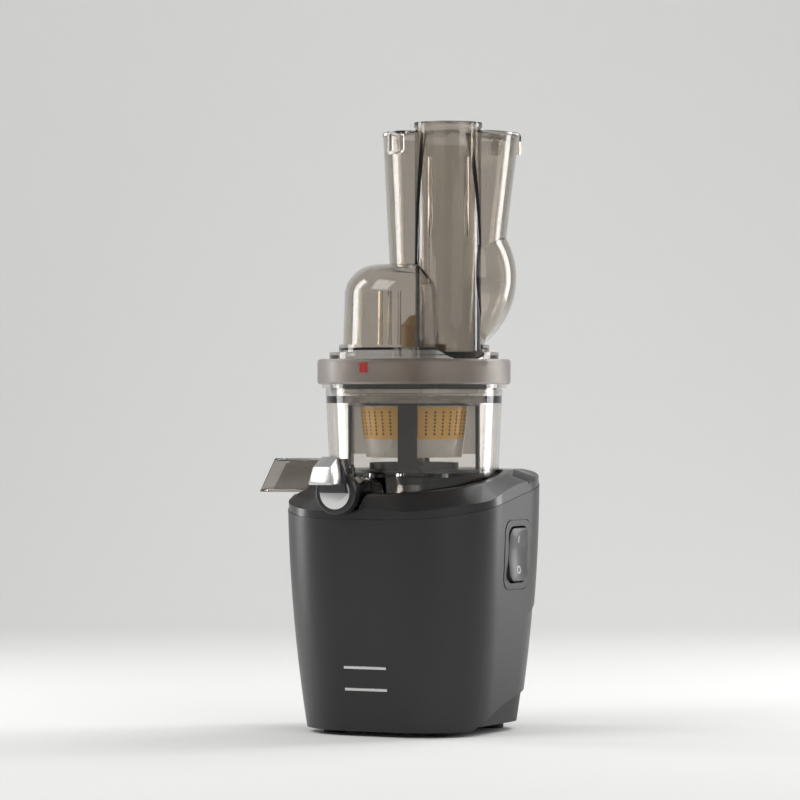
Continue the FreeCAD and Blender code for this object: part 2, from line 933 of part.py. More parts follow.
def deck_vents():
    """Vent slots in the deck's slope on both rear corners."""
    vents = []
    for side in (-1, 1):
        turn = FreeCAD.Placement(FreeCAD.Vector(), FreeCAD.Rotation(VERTICAL, -side * SIZES["rib_bearing"]))
        for index in range(SIZES["rib_count"]):
            shift = (index - (SIZES["rib_count"] - 1) / 2) * S.rib_pitch
            vents.append(box(f"deck_vent_{side}_{index}",
                             (shift - S.rib_width / 2, shift + S.rib_width / 2),
                             (rim_radius() + S.deck_wall, slope_foot()), (S.band_height, S.rim_height),
                             seam_frame().multiply(turn)))
    return vents


# Power rocker


def side_plate(name, half_width, half_length, corner, start, depth):
    """A rounded plate round the rocker's middle, standing on the right side."""
    middle, level = S.bezel_shift, S.bezel_level
    corners = [(middle + half_width, level + half_length, corner),
               (middle - half_width, level + half_length, corner),
               (middle - half_width, level - half_length, corner),
               (middle + half_width, level - half_length, corner)]
    return prism(name, "YZ_Plane", corners, start, depth)


def bezel_block(name, gap, depth):
    """The switch frame's outer block, from its inner face outwards."""
    return side_plate(name, S.bezel_width / 2 + gap, S.bezel_length / 2 + gap, S.bezel_corner + gap,
                      S.bezel_inner, depth)


def build_switch():
    block = bezel_block("switch_frame_block", as_size(0), S.crown_half - S.bezel_inner)
    frame = common("switch_frame", [block, house_form("switch_skin", -S.bezel_proud)])
    half_width = S.bezel_width / 2 - S.bezel_border
    half_length = S.bezel_length / 2 - S.bezel_end
    opening = side_plate("switch_opening", half_width, half_length, S.opening_corner, S.bezel_inner,
                         S.rocker_outer - S.bezel_inner)
    pin_length = 2 * (half_width + S.pin_sink)
    pin_start = S.bezel_shift - half_width - S.pin_sink
    pin_hole = rod("switch_pin_hole", S.pin_radius, pin_length, S.rocker_axis, pin_start, S.bezel_level,
                   SIDEWAYS, -90)
    keep(cut("switch_bezel", frame, [opening, pin_hole]), "switch_bezel")
    rocker_width = half_width - S.wall_gap
    rocker_length = half_length - S.rocker_gap
    low, high = S.bezel_level - rocker_length, S.bezel_level + rocker_length
    wave = prism("rocker_wave", "XZ_Plane", [
        (S.rocker_inner, low), (S.rocker_outer, low),
        (S.rocker_outer - S.rocker_dip, S.bezel_level, S.rocker_round),
        (S.rocker_outer, high), (S.rocker_inner, high)], -(S.bezel_shift + rocker_width), 2 * rocker_width)
    plate = side_plate("rocker_plate", rocker_width, rocker_length, S.opening_corner - S.wall_gap,
                       S.rocker_inner,
                       S.rocker_outer - S.rocker_inner)
    bore = rod("rocker_bore", S.pin_radius + S.run_fit, pin_length, S.rocker_axis, pin_start, S.bezel_level,
               SIDEWAYS, -90)
    keep(cut("rocker_button", common("rocker_blank", [wave, plate]), [bore]), "rocker_button")
    keep(rod("rocker_pin", S.pin_radius, pin_length, S.rocker_axis, pin_start, S.bezel_level, SIDEWAYS,
             -90), "rocker_pin")
    block_half = half_length + S.block_lap
    keep(box("switch_block", (S.bezel_inner - S.block_depth, S.bezel_inner),
             (S.bezel_shift - half_width - S.block_lap, S.bezel_shift + half_width + S.block_lap),
             (S.bezel_level - block_half, S.bezel_level + block_half)), "switch_block")


# Motor


def build_motor():
    keep(ring("motor_stator", S.rotor_radius + S.air_gap, S.stator_radius, S.stator_low, S.stator_high),
         "motor_stator")
    coils = fuse("motor_windings", [
        ring("winding_low", S.winding_inner, S.winding_outer, S.stator_low - S.winding_rise, S.stator_low),
        ring("winding_high", S.winding_inner, S.winding_outer, S.stator_high,
             S.stator_high + S.winding_rise)])
    keep(coils, "motor_windings")
    seat = S.bearing_radius + S.bell_plate
    rim = S.stator_radius - S.bell_wall
    keep(lathe("motor_lower_bell", [
        (S.bearing_radius, S.bell_low), (S.stator_radius, S.bell_low), (S.stator_radius, S.stator_low),
        (rim, S.stator_low), (rim, S.bell_low + S.bell_plate), (seat, S.bell_low + S.bell_plate),
        (seat, S.bell_low + S.bearing_width), (S.bearing_radius, S.bell_low + S.bearing_width)]),
        "motor_lower_bell")
    keep(lathe("motor_upper_bell", [
        (S.bearing_radius, S.bell_high - S.bearing_width), (seat, S.bell_high - S.bearing_width),
        (seat, S.bell_high - S.bell_plate), (rim, S.bell_high - S.bell_plate), (rim, S.stator_high),
        (S.stator_radius, S.stator_high), (S.stator_radius, S.bell_high), (S.bearing_radius, S.bell_high)]),
        "motor_upper_bell")
    bore = S.shaft_radius + S.run_fit
    keep(fuse("motor_bearings", [
        ring("bearing_low", bore, S.bearing_radius, S.bell_low, S.bell_low + S.bearing_width),
        ring("bearing_high", bore, S.bearing_radius, S.bell_high - S.bearing_width, S.bell_high)]),
        "motor_bearings")
    keep(ring("rotor_core", S.shaft_radius, S.rotor_radius, S.stator_low, S.stator_high), "rotor_core")
    keep(disc("motor_shaft", S.shaft_radius, S.shaft_foot, S.shaft_top), "motor_shaft")
    build_fan()


def build_fan():
    body = new_body("motor_fan")
    blade = new_sketch(body, "XY_Plane", S.fan_level)
    draw_outline(blade, [(S.fan_hub / 2, -S.fan_blade / 2), (S.fan_radius, -S.fan_blade / 2),
                         (S.fan_radius, S.fan_blade / 2), (S.fan_hub / 2, S.fan_blade / 2)])
    blade_pad = pad(body, blade, S.fan_height)
    pattern = body.newObject("PartDesign::PolarPattern", "fan_pattern")
    pattern.Originals = [blade_pad]
    pattern.Axis = (origin_feature(body, "Z_Axis"), [""])
    pattern.Angle = 360
    pattern.Occurrences = SIZES["fan_blades"]
    body.Tip = pattern
    hub = ring("fan_hub_ring", S.shaft_radius, S.fan_hub, S.fan_level, S.fan_level + S.fan_height)
    keep(fuse("motor_fan_wheel", [body, hub]), "motor_fan")


# Gear train


def build_gears():
    teeth, wheel = SIZES["pinion_teeth"], SIZES["wheel_teeth"]
    module, shift, play = SIZES["gear_module"], SIZES["pinion_shift"], SIZES["gear_play"]
    apart = S.gear_module * (S.pinion_teeth + S.wheel_teeth) / 2
    small = {"teeth": teeth, "module": module, "shift": shift, "play": play}
    large = {"teeth": wheel, "module": module, "shift": -shift, "play": play}
    first, second = SIZES["first_width"], SIZES["second_width"]
    towards, away = 90, 270
    pinion = spur_gear(**small, bore=SIZES["shaft_radius"], width=first, turn=towards)
    keep(feature("motor_pinion", pinion, z=S.first_level), "motor_pinion")
    counter = spur_gear(**large, bore=SIZES["axle_radius"], width=first, turn=away + 180 / wheel)
    keep(feature("counter_gear", counter, y=apart, z=S.first_level), "counter_gear")
    counter_small = spur_gear(**small, bore=SIZES["axle_radius"], width=second, turn=away + 180 / teeth)
    keep(feature("counter_pinion", counter_small, y=apart, z=S.second_level), "counter_pinion")
    output = spur_gear(**large, bore=SIZES["drive_radius"], width=second, turn=towards)
    keep(feature("output_gear", output, z=S.second_level), "output_gear")
    build_gearbox(apart)


def build_gearbox(apart):
    room = S.gear_module * (S.wheel_teeth / 2 + ADDENDUM - S.pinion_shift) + S.case_room
    wall = room + S.case_wall

    def case_block(name, half, low, high):
        corners = [(half, apart + half, half - S.case_wall), (-half, apart + half, half - S.case_wall),
                   (-half, -half, half - S.case_wall), (half, -half, half - S.case_wall)]
        return prism(name, "XY_Plane", corners, low, high - low)

    floor = S.bell_high + S.case_wall
    blank = case_block("case_blank", wall, S.bell_high, S.case_top)
    hollow = case_block("case_hollow", room, floor, S.case_top)
    shaft_hole = disc("case_shaft_hole", S.bearing_radius, S.bell_high, floor)
    axle_room = S.axle_radius + S.run_fit
    axle_hole = rod("case_axle_hole", axle_room, S.case_wall, 0, apart, S.bell_high)
    keep(cut("gearbox_case", blank, [hollow, shaft_hole, axle_hole]), "gearbox_case")
    cover_top = S.case_top + S.cover_plate
    lid = case_block("cover_blank", wall, S.case_top, cover_top)
    bearing_hole = disc("cover_bearing_hole", S.output_bearing, S.case_top, cover_top)
    cover_axle = rod("cover_axle_hole", axle_room, S.cover_plate, 0, apart, S.case_top)
    keep(cut("gearbox_cover", lid, [bearing_hole, cover_axle]), "gearbox_cover")
    keep(ring("output_bearing", S.drive_radius + S.run_fit, S.output_bearing, S.case_top, cover_top),
         "output_bearing")
    keep(rod("counter_shaft", S.axle_radius, cover_top - S.bell_high, 0, apart, S.bell_high),
         "counter_shaft")
    spread = room - S.case_room - S.case_wall
    heads = []
    for x in (-spread, spread):
        for y in (-spread, apart + spread):
            heads.append(rod(f"cover_screw_{len(heads)}", S.screw_head, S.screw_head_rise, x, y, cover_top))
    keep(fuse("gearbox_screws", heads), "gearbox_screws")


def hexagon(name, flats, low, high):
    """A hexagonal bar on the drive axis, given across its flats."""
    bar = doc.addObject("Part::Prism", name)
    bar.Polygon = 6
    bind(bar, "Circumradius", flats / (2 * math.cos(math.pi / 6)))
    bind(bar, "Height", high - low)
    return place(bar, z=low)


def build_drive_shaft():
    keep(fuse("drive_shaft", [
        disc("drive_round", S.drive_radius, S.drive_foot, S.hex_level),
        hexagon("drive_hexagon", S.hex_flats, S.hex_level, S.hex_top)]), "drive_shaft")
    keep(ring("shaft_bush", S.drive_radius + S.run_fit, S.drive_radius + S.bush_wall, S.bush_low,
              S.hub_top), "shaft_bush")
    keep(ring("shaft_seal", S.drive_radius + S.wall_gap, S.seal_radius, S.hub_top, S.hub_top + S.seal_rise),
         "shaft_seal")


def build_electrics():
    half = S.board_width / 2
    back = S.board_depth + S.board_plate
    board = box("board_plate", (-half, half), (S.board_depth, back), (S.board_low, S.board_high))
    middle = (S.board_low + S.board_high) / 2
    can = rod("board_can", S.can_radius, S.can_length, S.can_shift, back, middle, SIDEWAYS, -90)
    terminal = box("board_terminal", (-half, -half + S.terminal_width), (back, back + S.can_radius),
                   (middle, S.board_high))
    keep(fuse("control_board", [board, can, terminal]), "control_board")
    gland = lathe("cord_gland", [
        (S.gland_bore, -S.gland_sink), (S.gland_neck, -S.gland_sink), (S.gland_neck, 0),
        (S.gland_radius, 0),
        (S.gland_radius, S.gland_rim), (S.gland_neck, S.gland_rim), (S.gland_tip, S.gland_length),
        (S.gland_bore, S.gland_length)])
    keep(place(gland, S.gland_offset, gland_seat(), S.waist_level, SIDEWAYS, -90), "cord_gland")


# Juicing bowl


def floor_top():
    return S.bowl_floor_level + S.floor_plate


def bowl_top_radius():
    return S.bowl_low_radius + S.top_draft


def ledge_radius():
    return bowl_top_radius() - S.ledge_wall


def bowl_outline():
    flange_top = S.bowl_top_level + S.flange_rise
    flange = bowl_top_radius() + S.flange_width
    ledge, bead = ledge_radius(), ledge_radius() - S.bead_width
    hub_outer = S.bowl_hub_bore + S.bowl_hub_wall
    foot = S.bowl_low_radius - S.foot_draft
    inner_foot = foot - S.bowl_wall
    return [
        (foot, S.well_level), (S.bowl_low_radius, floor_top()), (bowl_top_radius(), S.bowl_top_level),
        (flange, S.bowl_top_level), (flange, flange_top), (ledge, flange_top), (ledge, S.ledge_level),
        (bead, S.ledge_level), (bead, S.bead_level),
        (bowl_top_radius() - S.bowl_wall, S.bead_level - S.bead_slope),
        (S.bowl_low_radius - S.bowl_wall, floor_top()), (S.bowl_hub_bore, floor_top()),
        (S.bowl_hub_bore, S.bowl_hub_foot), (hub_outer, S.bowl_hub_foot), (hub_outer, S.bowl_floor_level),
        (inner_foot, S.bowl_floor_level), (inner_foot, S.well_level)]


def hinge_half():
    """Half the length of the cap's hinge pin."""
    return S.knuckle_width / 2 + S.wall_gap + S.lug_width


def idler_reach():
    return S.wiper_module * (S.sun_teeth + S.idler_teeth) / 2


def build_bowl():
    shell = lathe("bowl_shell", bowl_outline())
    spout = rod("bowl_spout", S.spout_radius, S.spout_tip - S.spout_root, -S.spout_shift, -S.spout_root,
                S.spout_level, SIDEWAYS, 90)
    lugs = []
    for side in (-1, 1):
        inner = S.knuckle_width / 2 + S.wall_gap
        near, far = -S.spout_shift + side * inner, -S.spout_shift + side * (inner + S.lug_width)
        low, high = (near, far) if side > 0 else (far, near)
        lugs.append(rod(f"spout_lug_{side}", S.knuckle_radius, S.lug_width, low, -S.hinge_reach,
                        S.hinge_level, BACKWARD, 90))
        lugs.append(box(f"spout_stem_{side}", (low, high),
                        (-S.hinge_reach - S.knuckle_radius, -S.hinge_reach + S.knuckle_radius),
                        (S.spout_level + S.spout_bore, S.hinge_level)))
    solid = fuse("bowl_solid", [shell, spout] + lugs)
    bore = rod("bowl_spout_bore", S.spout_bore, S.spout_tip - S.spout_root, -S.spout_shift,
               -S.spout_root - S.bowl_wall, S.spout_level, SIDEWAYS, 90)
    drain = rod("bowl_drain", S.drain_radius, floor_top() - S.spout_level, -S.spout_shift, -S.drain_reach,
                S.spout_level)
    pin_hole = rod("bowl_lug_bore", S.pin_radius, 2 * hinge_half(), -S.spout_shift - hinge_half(),
                   -S.hinge_reach, S.hinge_level, BACKWARD, 90)
    window = box("bowl_chute_window", (-S.bowl_low_radius - S.bowl_wall, -S.bowl_low_radius / 2),
                 (-S.chute_shift - S.chute_half - S.seat_fit, -S.chute_shift + S.chute_half + S.seat_fit),
                 (S.chute_low - S.seat_fit, S.bowl_floor_level))
    pulp_slot = pulp_block("bowl_pulp_slot", S.bowl_floor_level, floor_top())
    idler_hole = rod("bowl_idler_hole", S.idler_pin_radius, S.floor_plate, idler_reach(), 0,
                     S.bowl_floor_level)
    keep(cut("juicing_bowl", solid, [bore, drain, pin_hole, window, pulp_slot, idler_hole]), "juicing_bowl")
    keep(ring("hub_seal", S.neck_radius + S.wall_gap, S.bowl_hub_bore, S.hub_seal_low, S.hub_seal_high),
         "hub_seal")
    keep(rod("cap_hinge_pin", S.pin_radius, 2 * hinge_half(), -S.spout_shift - hinge_half(), -S.hinge_reach,
             S.hinge_level, BACKWARD, 90), "cap_hinge_pin")


def pulp_block(name, low, high):
    return box(name, (-S.pulp_slot_outer, -S.pulp_slot_inner), (-S.pulp_slot_far, -S.pulp_slot_near),
               (low, high))


def skirt_radius():
    """The lid skirt's radius, a free fit inside the bowl's ledge."""
    return ledge_radius() - S.wall_gap


def lug_reach():
    return skirt_radius() + S.lug_depth


def build_collar():
    low, high = S.bowl_top_level + S.flange_rise, S.collar_top
    groove, lip = bowl_top_radius() + S.groove_room, skirt_radius() + S.lip_gap
    outer = groove + S.collar_wall
    ring_body = lathe("collar_ring", [
        (groove, low), (outer, low, S.collar_round), (outer, high, S.collar_round),
        (lip, high), (lip, high - S.lip_depth), (groove, high - S.lip_depth)])
    slots = []
    for turn in (0, 120, 240):
        slots.append(sector(f"collar_slot_{turn}", lip - S.wall_gap, lug_reach() + S.wall_gap,
                            high - S.lip_depth, high, S.lug_bearing + S.unlock_angle + turn, S.slot_sweep))
    keep(cut("locking_collar", ring_body, slots), "locking_collar")
    mark_x, mark_y = polar(outer.value, SIZES["mark_bearing"])
    frame = FreeCAD.Placement(FreeCAD.Vector(mark_x, mark_y, SIZES["mark_level"]),
                              FreeCAD.Rotation(VERTICAL, SIZES["mark_bearing"]))
    block = box("lock_mark_block", (-S.mark_width / 2, S.mark_width / 2), (-S.mark_proud, S.mark_proud),
                (-S.mark_height / 2, S.mark_height / 2), frame)
    keep(cut("lock_mark", block, [disc("lock_mark_core", outer, low, high)]), "lock_mark")


def build_cap():
    back, front = S.spout_tip + S.seat_fit, S.spout_tip + S.seat_fit + S.cap_depth
    face = lathe("cap_face", [(0, back), (S.cap_radius, back), (S.cap_radius, front, S.cap_round),
                              (0, front)])
    place(face, -S.spout_shift, 0, S.spout_level, SIDEWAYS, 90)
    brow = cap_brow("cap_brow_block", as_size(0))
    knuckle = rod("cap_knuckle", S.knuckle_radius, S.knuckle_width, -S.spout_shift - S.knuckle_width / 2,
                  -S.hinge_reach, S.hinge_level, BACKWARD, 90)
    neck = box("cap_neck", (-S.spout_shift - S.knuckle_width / 2, -S.spout_shift + S.knuckle_width / 2),
               (-back - S.brow_depth / 2, -S.hinge_reach),
               (S.hinge_level - S.knuckle_radius, S.hinge_level + S.knuckle_radius))
    bore = rod("cap_bore", S.pin_radius + S.run_fit, 2 * hinge_half(), -S.spout_shift - hinge_half(),
               -S.hinge_reach, S.hinge_level, BACKWARD, 90)
    recess = rod("cap_recess", S.seal_disc, S.seal_depth, -S.spout_shift, -back, S.spout_level, SIDEWAYS,
                 90)
    keep(cut("juice_cap", fuse("cap_solid", [face, brow, knuckle, neck]), [bore, recess]), "juice_cap")
    keep(rod("cap_seal", S.seal_disc, S.seal_depth, -S.spout_shift, -back, S.spout_level, SIDEWAYS, 90),
         "cap_seal")
    plate = rod("cap_disc_plate", S.disc_radius, S.disc_rise, -S.spout_shift, -front, S.spout_level,
                SIDEWAYS, 90)
    keep(cut("cap_face_disc", plate, [cap_brow("cap_disc_room", S.seat_fit)]), "cap_face_disc")
    build_tab(back + S.brow_depth)


def cap_brow(name, gap):
    """The cap's raised brow over the spout, tapering upwards."""
    low, high = S.spout_level, S.crest_level
    shift = -S.spout_shift
    corners = [(shift - S.brow_half - gap, low - gap), (shift + S.brow_half + gap, low - gap),
               (shift + S.crest_half + gap, high + gap), (shift - S.crest_half - gap, high + gap)]
    return prism(name, "XZ_Plane", corners, S.spout_tip + S.seat_fit, S.brow_depth)


def build_tab(back):
    side = prism("tab_side", "YZ_Plane", [
        (-back, S.tab_low), (-back, S.crest_level), (-back - S.crest_run, S.tab_crest, S.cap_round),
        (-S.tab_reach + S.tab_lean, S.tab_front, S.cap_round), (-S.tab_reach, S.tab_low + S.cap_round),
        (-S.tab_reach + S.disc_rise, S.tab_low)],
        -S.spout_shift - S.tab_low_half, 2 * S.tab_low_half)
    shift = -S.spout_shift
    front = prism("tab_front_form", "XZ_Plane", [
        (shift - S.tab_low_half, S.tab_low), (shift + S.tab_low_half, S.tab_low),
        (shift + S.tab_high_half, S.tab_crest), (shift - S.tab_high_half, S.tab_crest)],
        back, S.tab_reach - back)
    keep(common("cap_tab", [side, front]), "cap_tab")


def build_pulp_chute():
    near, far = -S.chute_shift - S.chute_half, -S.chute_shift + S.chute_half
    low, high, wall = S.chute_low, S.chute_high, S.chute_wall
    middle = S.bowl_floor_level
    shoulder = S.bowl_low_radius - S.chute_half
    outer = prism("chute_outer", "XZ_Plane", [
        (-S.chute_root, low), (-S.chute_root, middle), (-shoulder, middle), (-shoulder, high),
        (-S.chute_tip_high, high, wall), (-S.chute_tip_low, low)], -far, far - near)
    beyond = -2 * S.chute_tip_low
    inner = prism("chute_inner", "XZ_Plane", [
        (-S.chute_root - wall, low + wall), (-S.chute_root - wall, middle), (-shoulder + wall, middle),
        (-shoulder + wall, high - wall), (beyond, high - wall), (beyond, low + wall)],
        -far + wall, far - near - 2 * wall)
    bowl_room = lathe("chute_bowl_room", [
        (0, middle), (S.bowl_low_radius + S.seat_fit, middle),
        (bowl_top_radius() + S.seat_fit, S.bowl_top_level), (0, S.bowl_top_level)])
    keep(cut("pulp_chute", outer, [inner, bowl_room]), "pulp_chute")


# Strainer


def sieve_radius(level):
    """The strainer's outer radius at a level."""
    share = (level - S.sieve_low_level) / (S.ledge_level - S.sieve_low_level)
    return S.sieve_low_radius + (S.sieve_high_radius - S.sieve_low_radius) * share


def build_strainer():
    plate_top = S.sieve_low_level + S.sieve_plate
    flange_top = S.ledge_level + S.sieve_flange
    flange = skirt_radius()
    cone = lathe("sieve_cone", [
        (S.sieve_hole, S.sieve_low_level), (S.sieve_low_radius, S.sieve_low_level),
        (S.sieve_high_radius, S.ledge_level), (flange, S.ledge_level), (flange, flange_top),
        (sieve_radius(flange_top) - S.sieve_wall, flange_top),
        (sieve_radius(plate_top) - S.sieve_wall, plate_top),
        (S.sieve_hole, plate_top)])
    band = ring("sieve_band", S.sieve_hole, S.sieve_high_radius + S.sieve_wall, S.mesh_low, S.mesh_high)
    slot = pulp_block("sieve_pulp_slot", S.sieve_low_level, plate_top)
    keep(cut("strainer_frame", cone, [band, slot]), "strainer_frame")
    sleeve = lathe("mesh_sleeve", [
        (sieve_radius(S.mesh_low) - S.sieve_wall, S.mesh_low), (sieve_radius(S.mesh_low), S.mesh_low),
        (sieve_radius(S.mesh_high), S.mesh_high), (sieve_radius(S.mesh_high) - S.sieve_wall, S.mesh_high)])
    keep(cut("strainer_mesh", sleeve, [slot_star()]), "strainer_mesh")


def slot_star():
    """Thin blades through the axis that cut opposite pairs of upright slots."""
    body = new_body("mesh_star")
    sketch = new_sketch(body, "XY_Plane", S.mesh_low + S.mesh_margin)
    reach, half = S.cage_inner, S.mesh_slot_width / 2
    draw_outline(sketch, [(-reach, -half), (reach, -half), (reach, half), (-reach, half)])
    blade = pad(body, sketch, S.mesh_high - S.mesh_low - 2 * S.mesh_margin)
    pattern = body.newObject("PartDesign::PolarPattern", "mesh_pattern")
    pattern.Originals = [blade]
    pattern.Axis = (origin_feature(body, "Z_Axis"), [""])
    pairs = SIZES["mesh_slots"] // 2
    pattern.Angle = 180 * (pairs - 1) / pairs
    pattern.Occurrences = pairs
    body.Tip = pattern
    return body


# Auger, idler and wiper


def wiper_gear_level():
    return floor_top() + S.wiper_gear_rise


def build_auger():
    core_level = S.sieve_low_level + S.sieve_plate + S.core_gap
    core = lathe("auger_core", [
        (0, S.neck_foot), (S.neck_radius, S.neck_foot), (S.neck_radius, core_level),
        (S.core_low_radius, core_level),
        (S.core_high_radius, S.core_high_level), (S.spindle_radius, S.spindle_level),
        (S.spindle_radius, S.spindle_top), (S.tip_radius, S.spindle_top + S.tip_rise),
        (0, S.spindle_top + S.tip_rise)])
    room = S.sieve_wall + S.flight_gap
    flange_top = S.ledge_level + S.sieve_flange
    envelope = lathe("auger_envelope", [
        (0, core_level), (sieve_radius(core_level) - room, core_level),
        (sieve_radius(flange_top) - room, flange_top),
        (sieve_radius(flange_top) - room, S.spindle_level), (0, S.spindle_level)])
    flight = common("auger_flight", [feature("auger_screw", helicoid(), z=S.flight_low), envelope])
    socket = hexagon("auger_socket", S.hex_flats + S.hex_fit, S.neck_foot, S.hex_top + S.core_gap)
    keep(cut("auger", fuse("auger_solid", [core, flight]), [socket]), "auger")


def helicoid():
    """A screw blade: the surface between two helices, thickened along the axis."""
    pitch, height = SIZES["flight_pitch"], SIZES["flight_high"] - SIZES["flight_low"]
    inner = Part.makeHelix(pitch, height, SIZES["neck_radius"])
    outer = Part.makeHelix(pitch, height, SIZES["cage_inner"])
    blade = Part.makeRuledSurface(inner, outer)
    return blade.extrude(VERTICAL * SIZES["flight_plate"])


def build_wiper_gears():
    module, play, width = SIZES["wiper_module"], SIZES["wiper_play"], SIZES["wiper_gear_width"]
    sun, idler = SIZES["sun_teeth"], SIZES["idler_teeth"]
    level = wiper_gear_level()
    sun_gear = spur_gear(sun, module, 0, play, SIZES["neck_radius"], width, 0)
    keep(feature("auger_gear", sun_gear, z=level), "auger_gear")
    idler_bore = SIZES["idler_pin_radius"] + SIZES["run_fit"]
    idler_gear = spur_gear(idler, module, 0, play, idler_bore, width, 180 + 180 / idler)
    keep(feature("idler_gear", idler_gear, x=idler_reach(), z=level), "idler_gear")
    keep(rod("idler_pin", S.idler_pin_radius, level + S.wiper_gear_width - S.bowl_floor_level,
             idler_reach(), 0,
             S.bowl_floor_level), "idler_pin")


def build_wiper():
    teeth = SIZES["sun_teeth"] + 2 * SIZES["idler_teeth"]
    module, width = SIZES["wiper_module"], SIZES["wiper_gear_width"]
    outer = module * (teeth / 2 + DEDENDUM) + SIZES["ring_wall"]
    hole = gear_face(teeth, module, 0, -SIZES["wiper_play"], 180 / teeth, addendum=DEDENDUM,
                     dedendum=ADDENDUM)
    toothed = Part.makeCylinder(outer, width).cut(hole.extrude(VERTICAL * width))
    ring_gear = feature("wiper_ring_gear", toothed, z=wiper_gear_level())
    web_low = floor_top() + S.web_rise
    web_inner = S.wiper_module * (S.sun_teeth / 2 + S.idler_teeth + DEDENDUM) + S.ring_wall / 2
    web = ring("wiper_web", web_inner, S.cage_outer, web_low, web_low + S.web_plate)
    top = ring("wiper_top_ring", S.cage_inner, S.cage_outer, S.cage_top - S.cage_ring, S.cage_top)
    bars = []
    for turn in range(0, 360, 360 // SIZES["cage_bars"]):
        frame = FreeCAD.Placement(FreeCAD.Vector(), FreeCAD.Rotation(VERTICAL, turn + SIZES["cage_turn"]))
        bars.append(box(f"wiper_bar_{turn}", (S.cage_inner, S.cage_outer),
                        (-S.cage_bar_width / 2, S.cage_bar_width / 2), (web_low, S.cage_top), frame))
    trim = disc("wiper_trim", S.cage_outer, web_low, S.cage_top)
    cage = common("wiper_cage", [fuse("wiper_cage_bars", bars), trim])
    keep(fuse("wiper_frame", [ring_gear, web, top, cage]), "wiper_frame")
    build_blades()


def build_blades():
    body = new_body("blade_set")
    sketch = new_sketch(body, "XZ_Plane", -S.blade_width / 2)
    foot, head = S.sieve_low_level + S.sieve_plate, S.cage_top - S.cage_ring
    draw_outline(sketch, [
        (sieve_radius(foot) + S.blade_gap, foot), (S.cage_inner, foot), (S.cage_inner, head),
        (sieve_radius(head) + S.blade_gap, head)])
    blade = pad(body, sketch, S.blade_width)
    pattern = body.newObject("PartDesign::PolarPattern", "blade_pattern")
    pattern.Originals = [blade]
    pattern.Axis = (origin_feature(body, "Z_Axis"), [""])
    pattern.Angle = 360
    pattern.Occurrences = SIZES["cage_bars"]
    body.Tip = pattern
    keep(place(body, angle=S.cage_turn), "wiper_blades")


# Lid


def flange_low():
    return S.collar_top + S.wall_gap


def tube_foot():
    return flange_low() + S.lid_flange_rise


def drum_outline():
    """The lid's skirt, flange, step and domed drum, solid."""
    step_top = tube_foot() + S.step_rise
    flange = skirt_radius() + S.lid_flange_width
    return [
        (0, S.skirt_foot), (skirt_radius(), S.skirt_foot), (skirt_radius(), flange_low()),
        (flange, flange_low()),
        (flange, tube_foot()), (S.step_radius, tube_foot()), (S.step_radius, step_top),
        (S.drum_radius, step_top),
        (S.drum_high_radius, S.shoulder_level, S.dome_round), (S.dome_radius, S.dome_level, S.dome_round),
        (0, S.dome_top)]


def drum_room():
    """The hollow inside the lid's drum."""
    wall = S.lid_wall
    step_top = tube_foot() + S.step_rise
    inner = skirt_radius() - wall
    return [
        (0, S.skirt_foot), (inner, S.skirt_foot), (inner, flange_low() - wall),
        (S.drum_radius - wall, step_top - wall),
        (S.drum_high_radius - wall, S.shoulder_level - wall / 2, S.dome_round - wall),
        (S.dome_radius - wall / 2, S.dome_level - wall, S.dome_round - wall), (0, S.dome_top - wall)]


def belly(name, wall):
    """The wide chute's rounded lower end, turned about its own axis."""
    body = lathe(name, [
        (0, S.belly_low_level), (S.belly_low_radius - wall, S.belly_low_level),
        (S.belly_reach - wall, S.belly_level, S.belly_round),
        (S.belly_high_radius - wall, S.belly_high_level),
        (0, S.belly_high_level)])
    return place(body, S.belly_x, S.belly_y)


def chute(name, wall, low, high):
    """The wide chute's leaning cone, between two round sections."""
    body = new_body(name)
    sketches = []
    for level, x, y, radius in ((low, S.neck_x, S.neck_y, S.neck_round),
                                (high, S.mouth_x, S.mouth_y, S.mouth_round)):
        sketch = new_sketch(body, "XY_Plane", level)
        draw_circle(sketch, x, y, radius - wall)
        sketches.append(sketch)
    cone = body.newObject("PartDesign::AdditiveLoft", f"{name}_loft")
    cone.Profile = sketches[0]
    cone.Sections = sketches[1:]
    return body


def build_hopper():
    wall = S.lid_wall
    outer = fuse("hopper_outer", [
        lathe("hopper_drum", drum_outline()), belly("hopper_belly", as_size(0)),
        chute("hopper_chute", as_size(0), S.neck_level, S.mouth_level)] + flap_lugs())
    mouth = rod("hopper_mouth", S.mouth_round - wall, S.flap_crown, S.mouth_x, S.mouth_y, S.mouth_level)
    inner = fuse("hopper_inner", [
        lathe("hopper_drum_room", drum_room()), belly("hopper_belly_room", wall),
        chute("hopper_chute_room", wall, S.neck_level, S.mouth_level), mouth])
    skin = cut("hopper_skin", outer, [inner])
    tube_room = rod("hopper_tube_room", S.tube_radius + S.seat_fit, S.tube_top, S.tube_x, S.tube_y,
                    tube_foot())
    ear_bore = hinge_rod("hopper_ear_bore", S.flap_pin, 2 * S.flap_knuckle_half)
    open_skin = cut("hopper_open_skin", skin, [tube_room, ear_bore])
    keep(fuse("hopper", [open_skin] + bayonet_lugs() + drum_ribs()), "hopper")
    keep(ring("lid_gasket", skirt_radius() - S.gasket_width, skirt_radius(),
              S.ledge_level + S.sieve_flange + S.wall_gap, S.skirt_foot), "lid_gasket")


def bayonet_lugs():
    high = S.collar_top - S.lip_depth - S.lug_gap
    return [sector(f"lid_lug_{turn}", skirt_radius() - S.lid_wall / 2, lug_reach(), high - S.lug_height,
                   high,
                   S.lug_bearing + turn, S.lug_sweep) for turn in (0, 120, 240)]


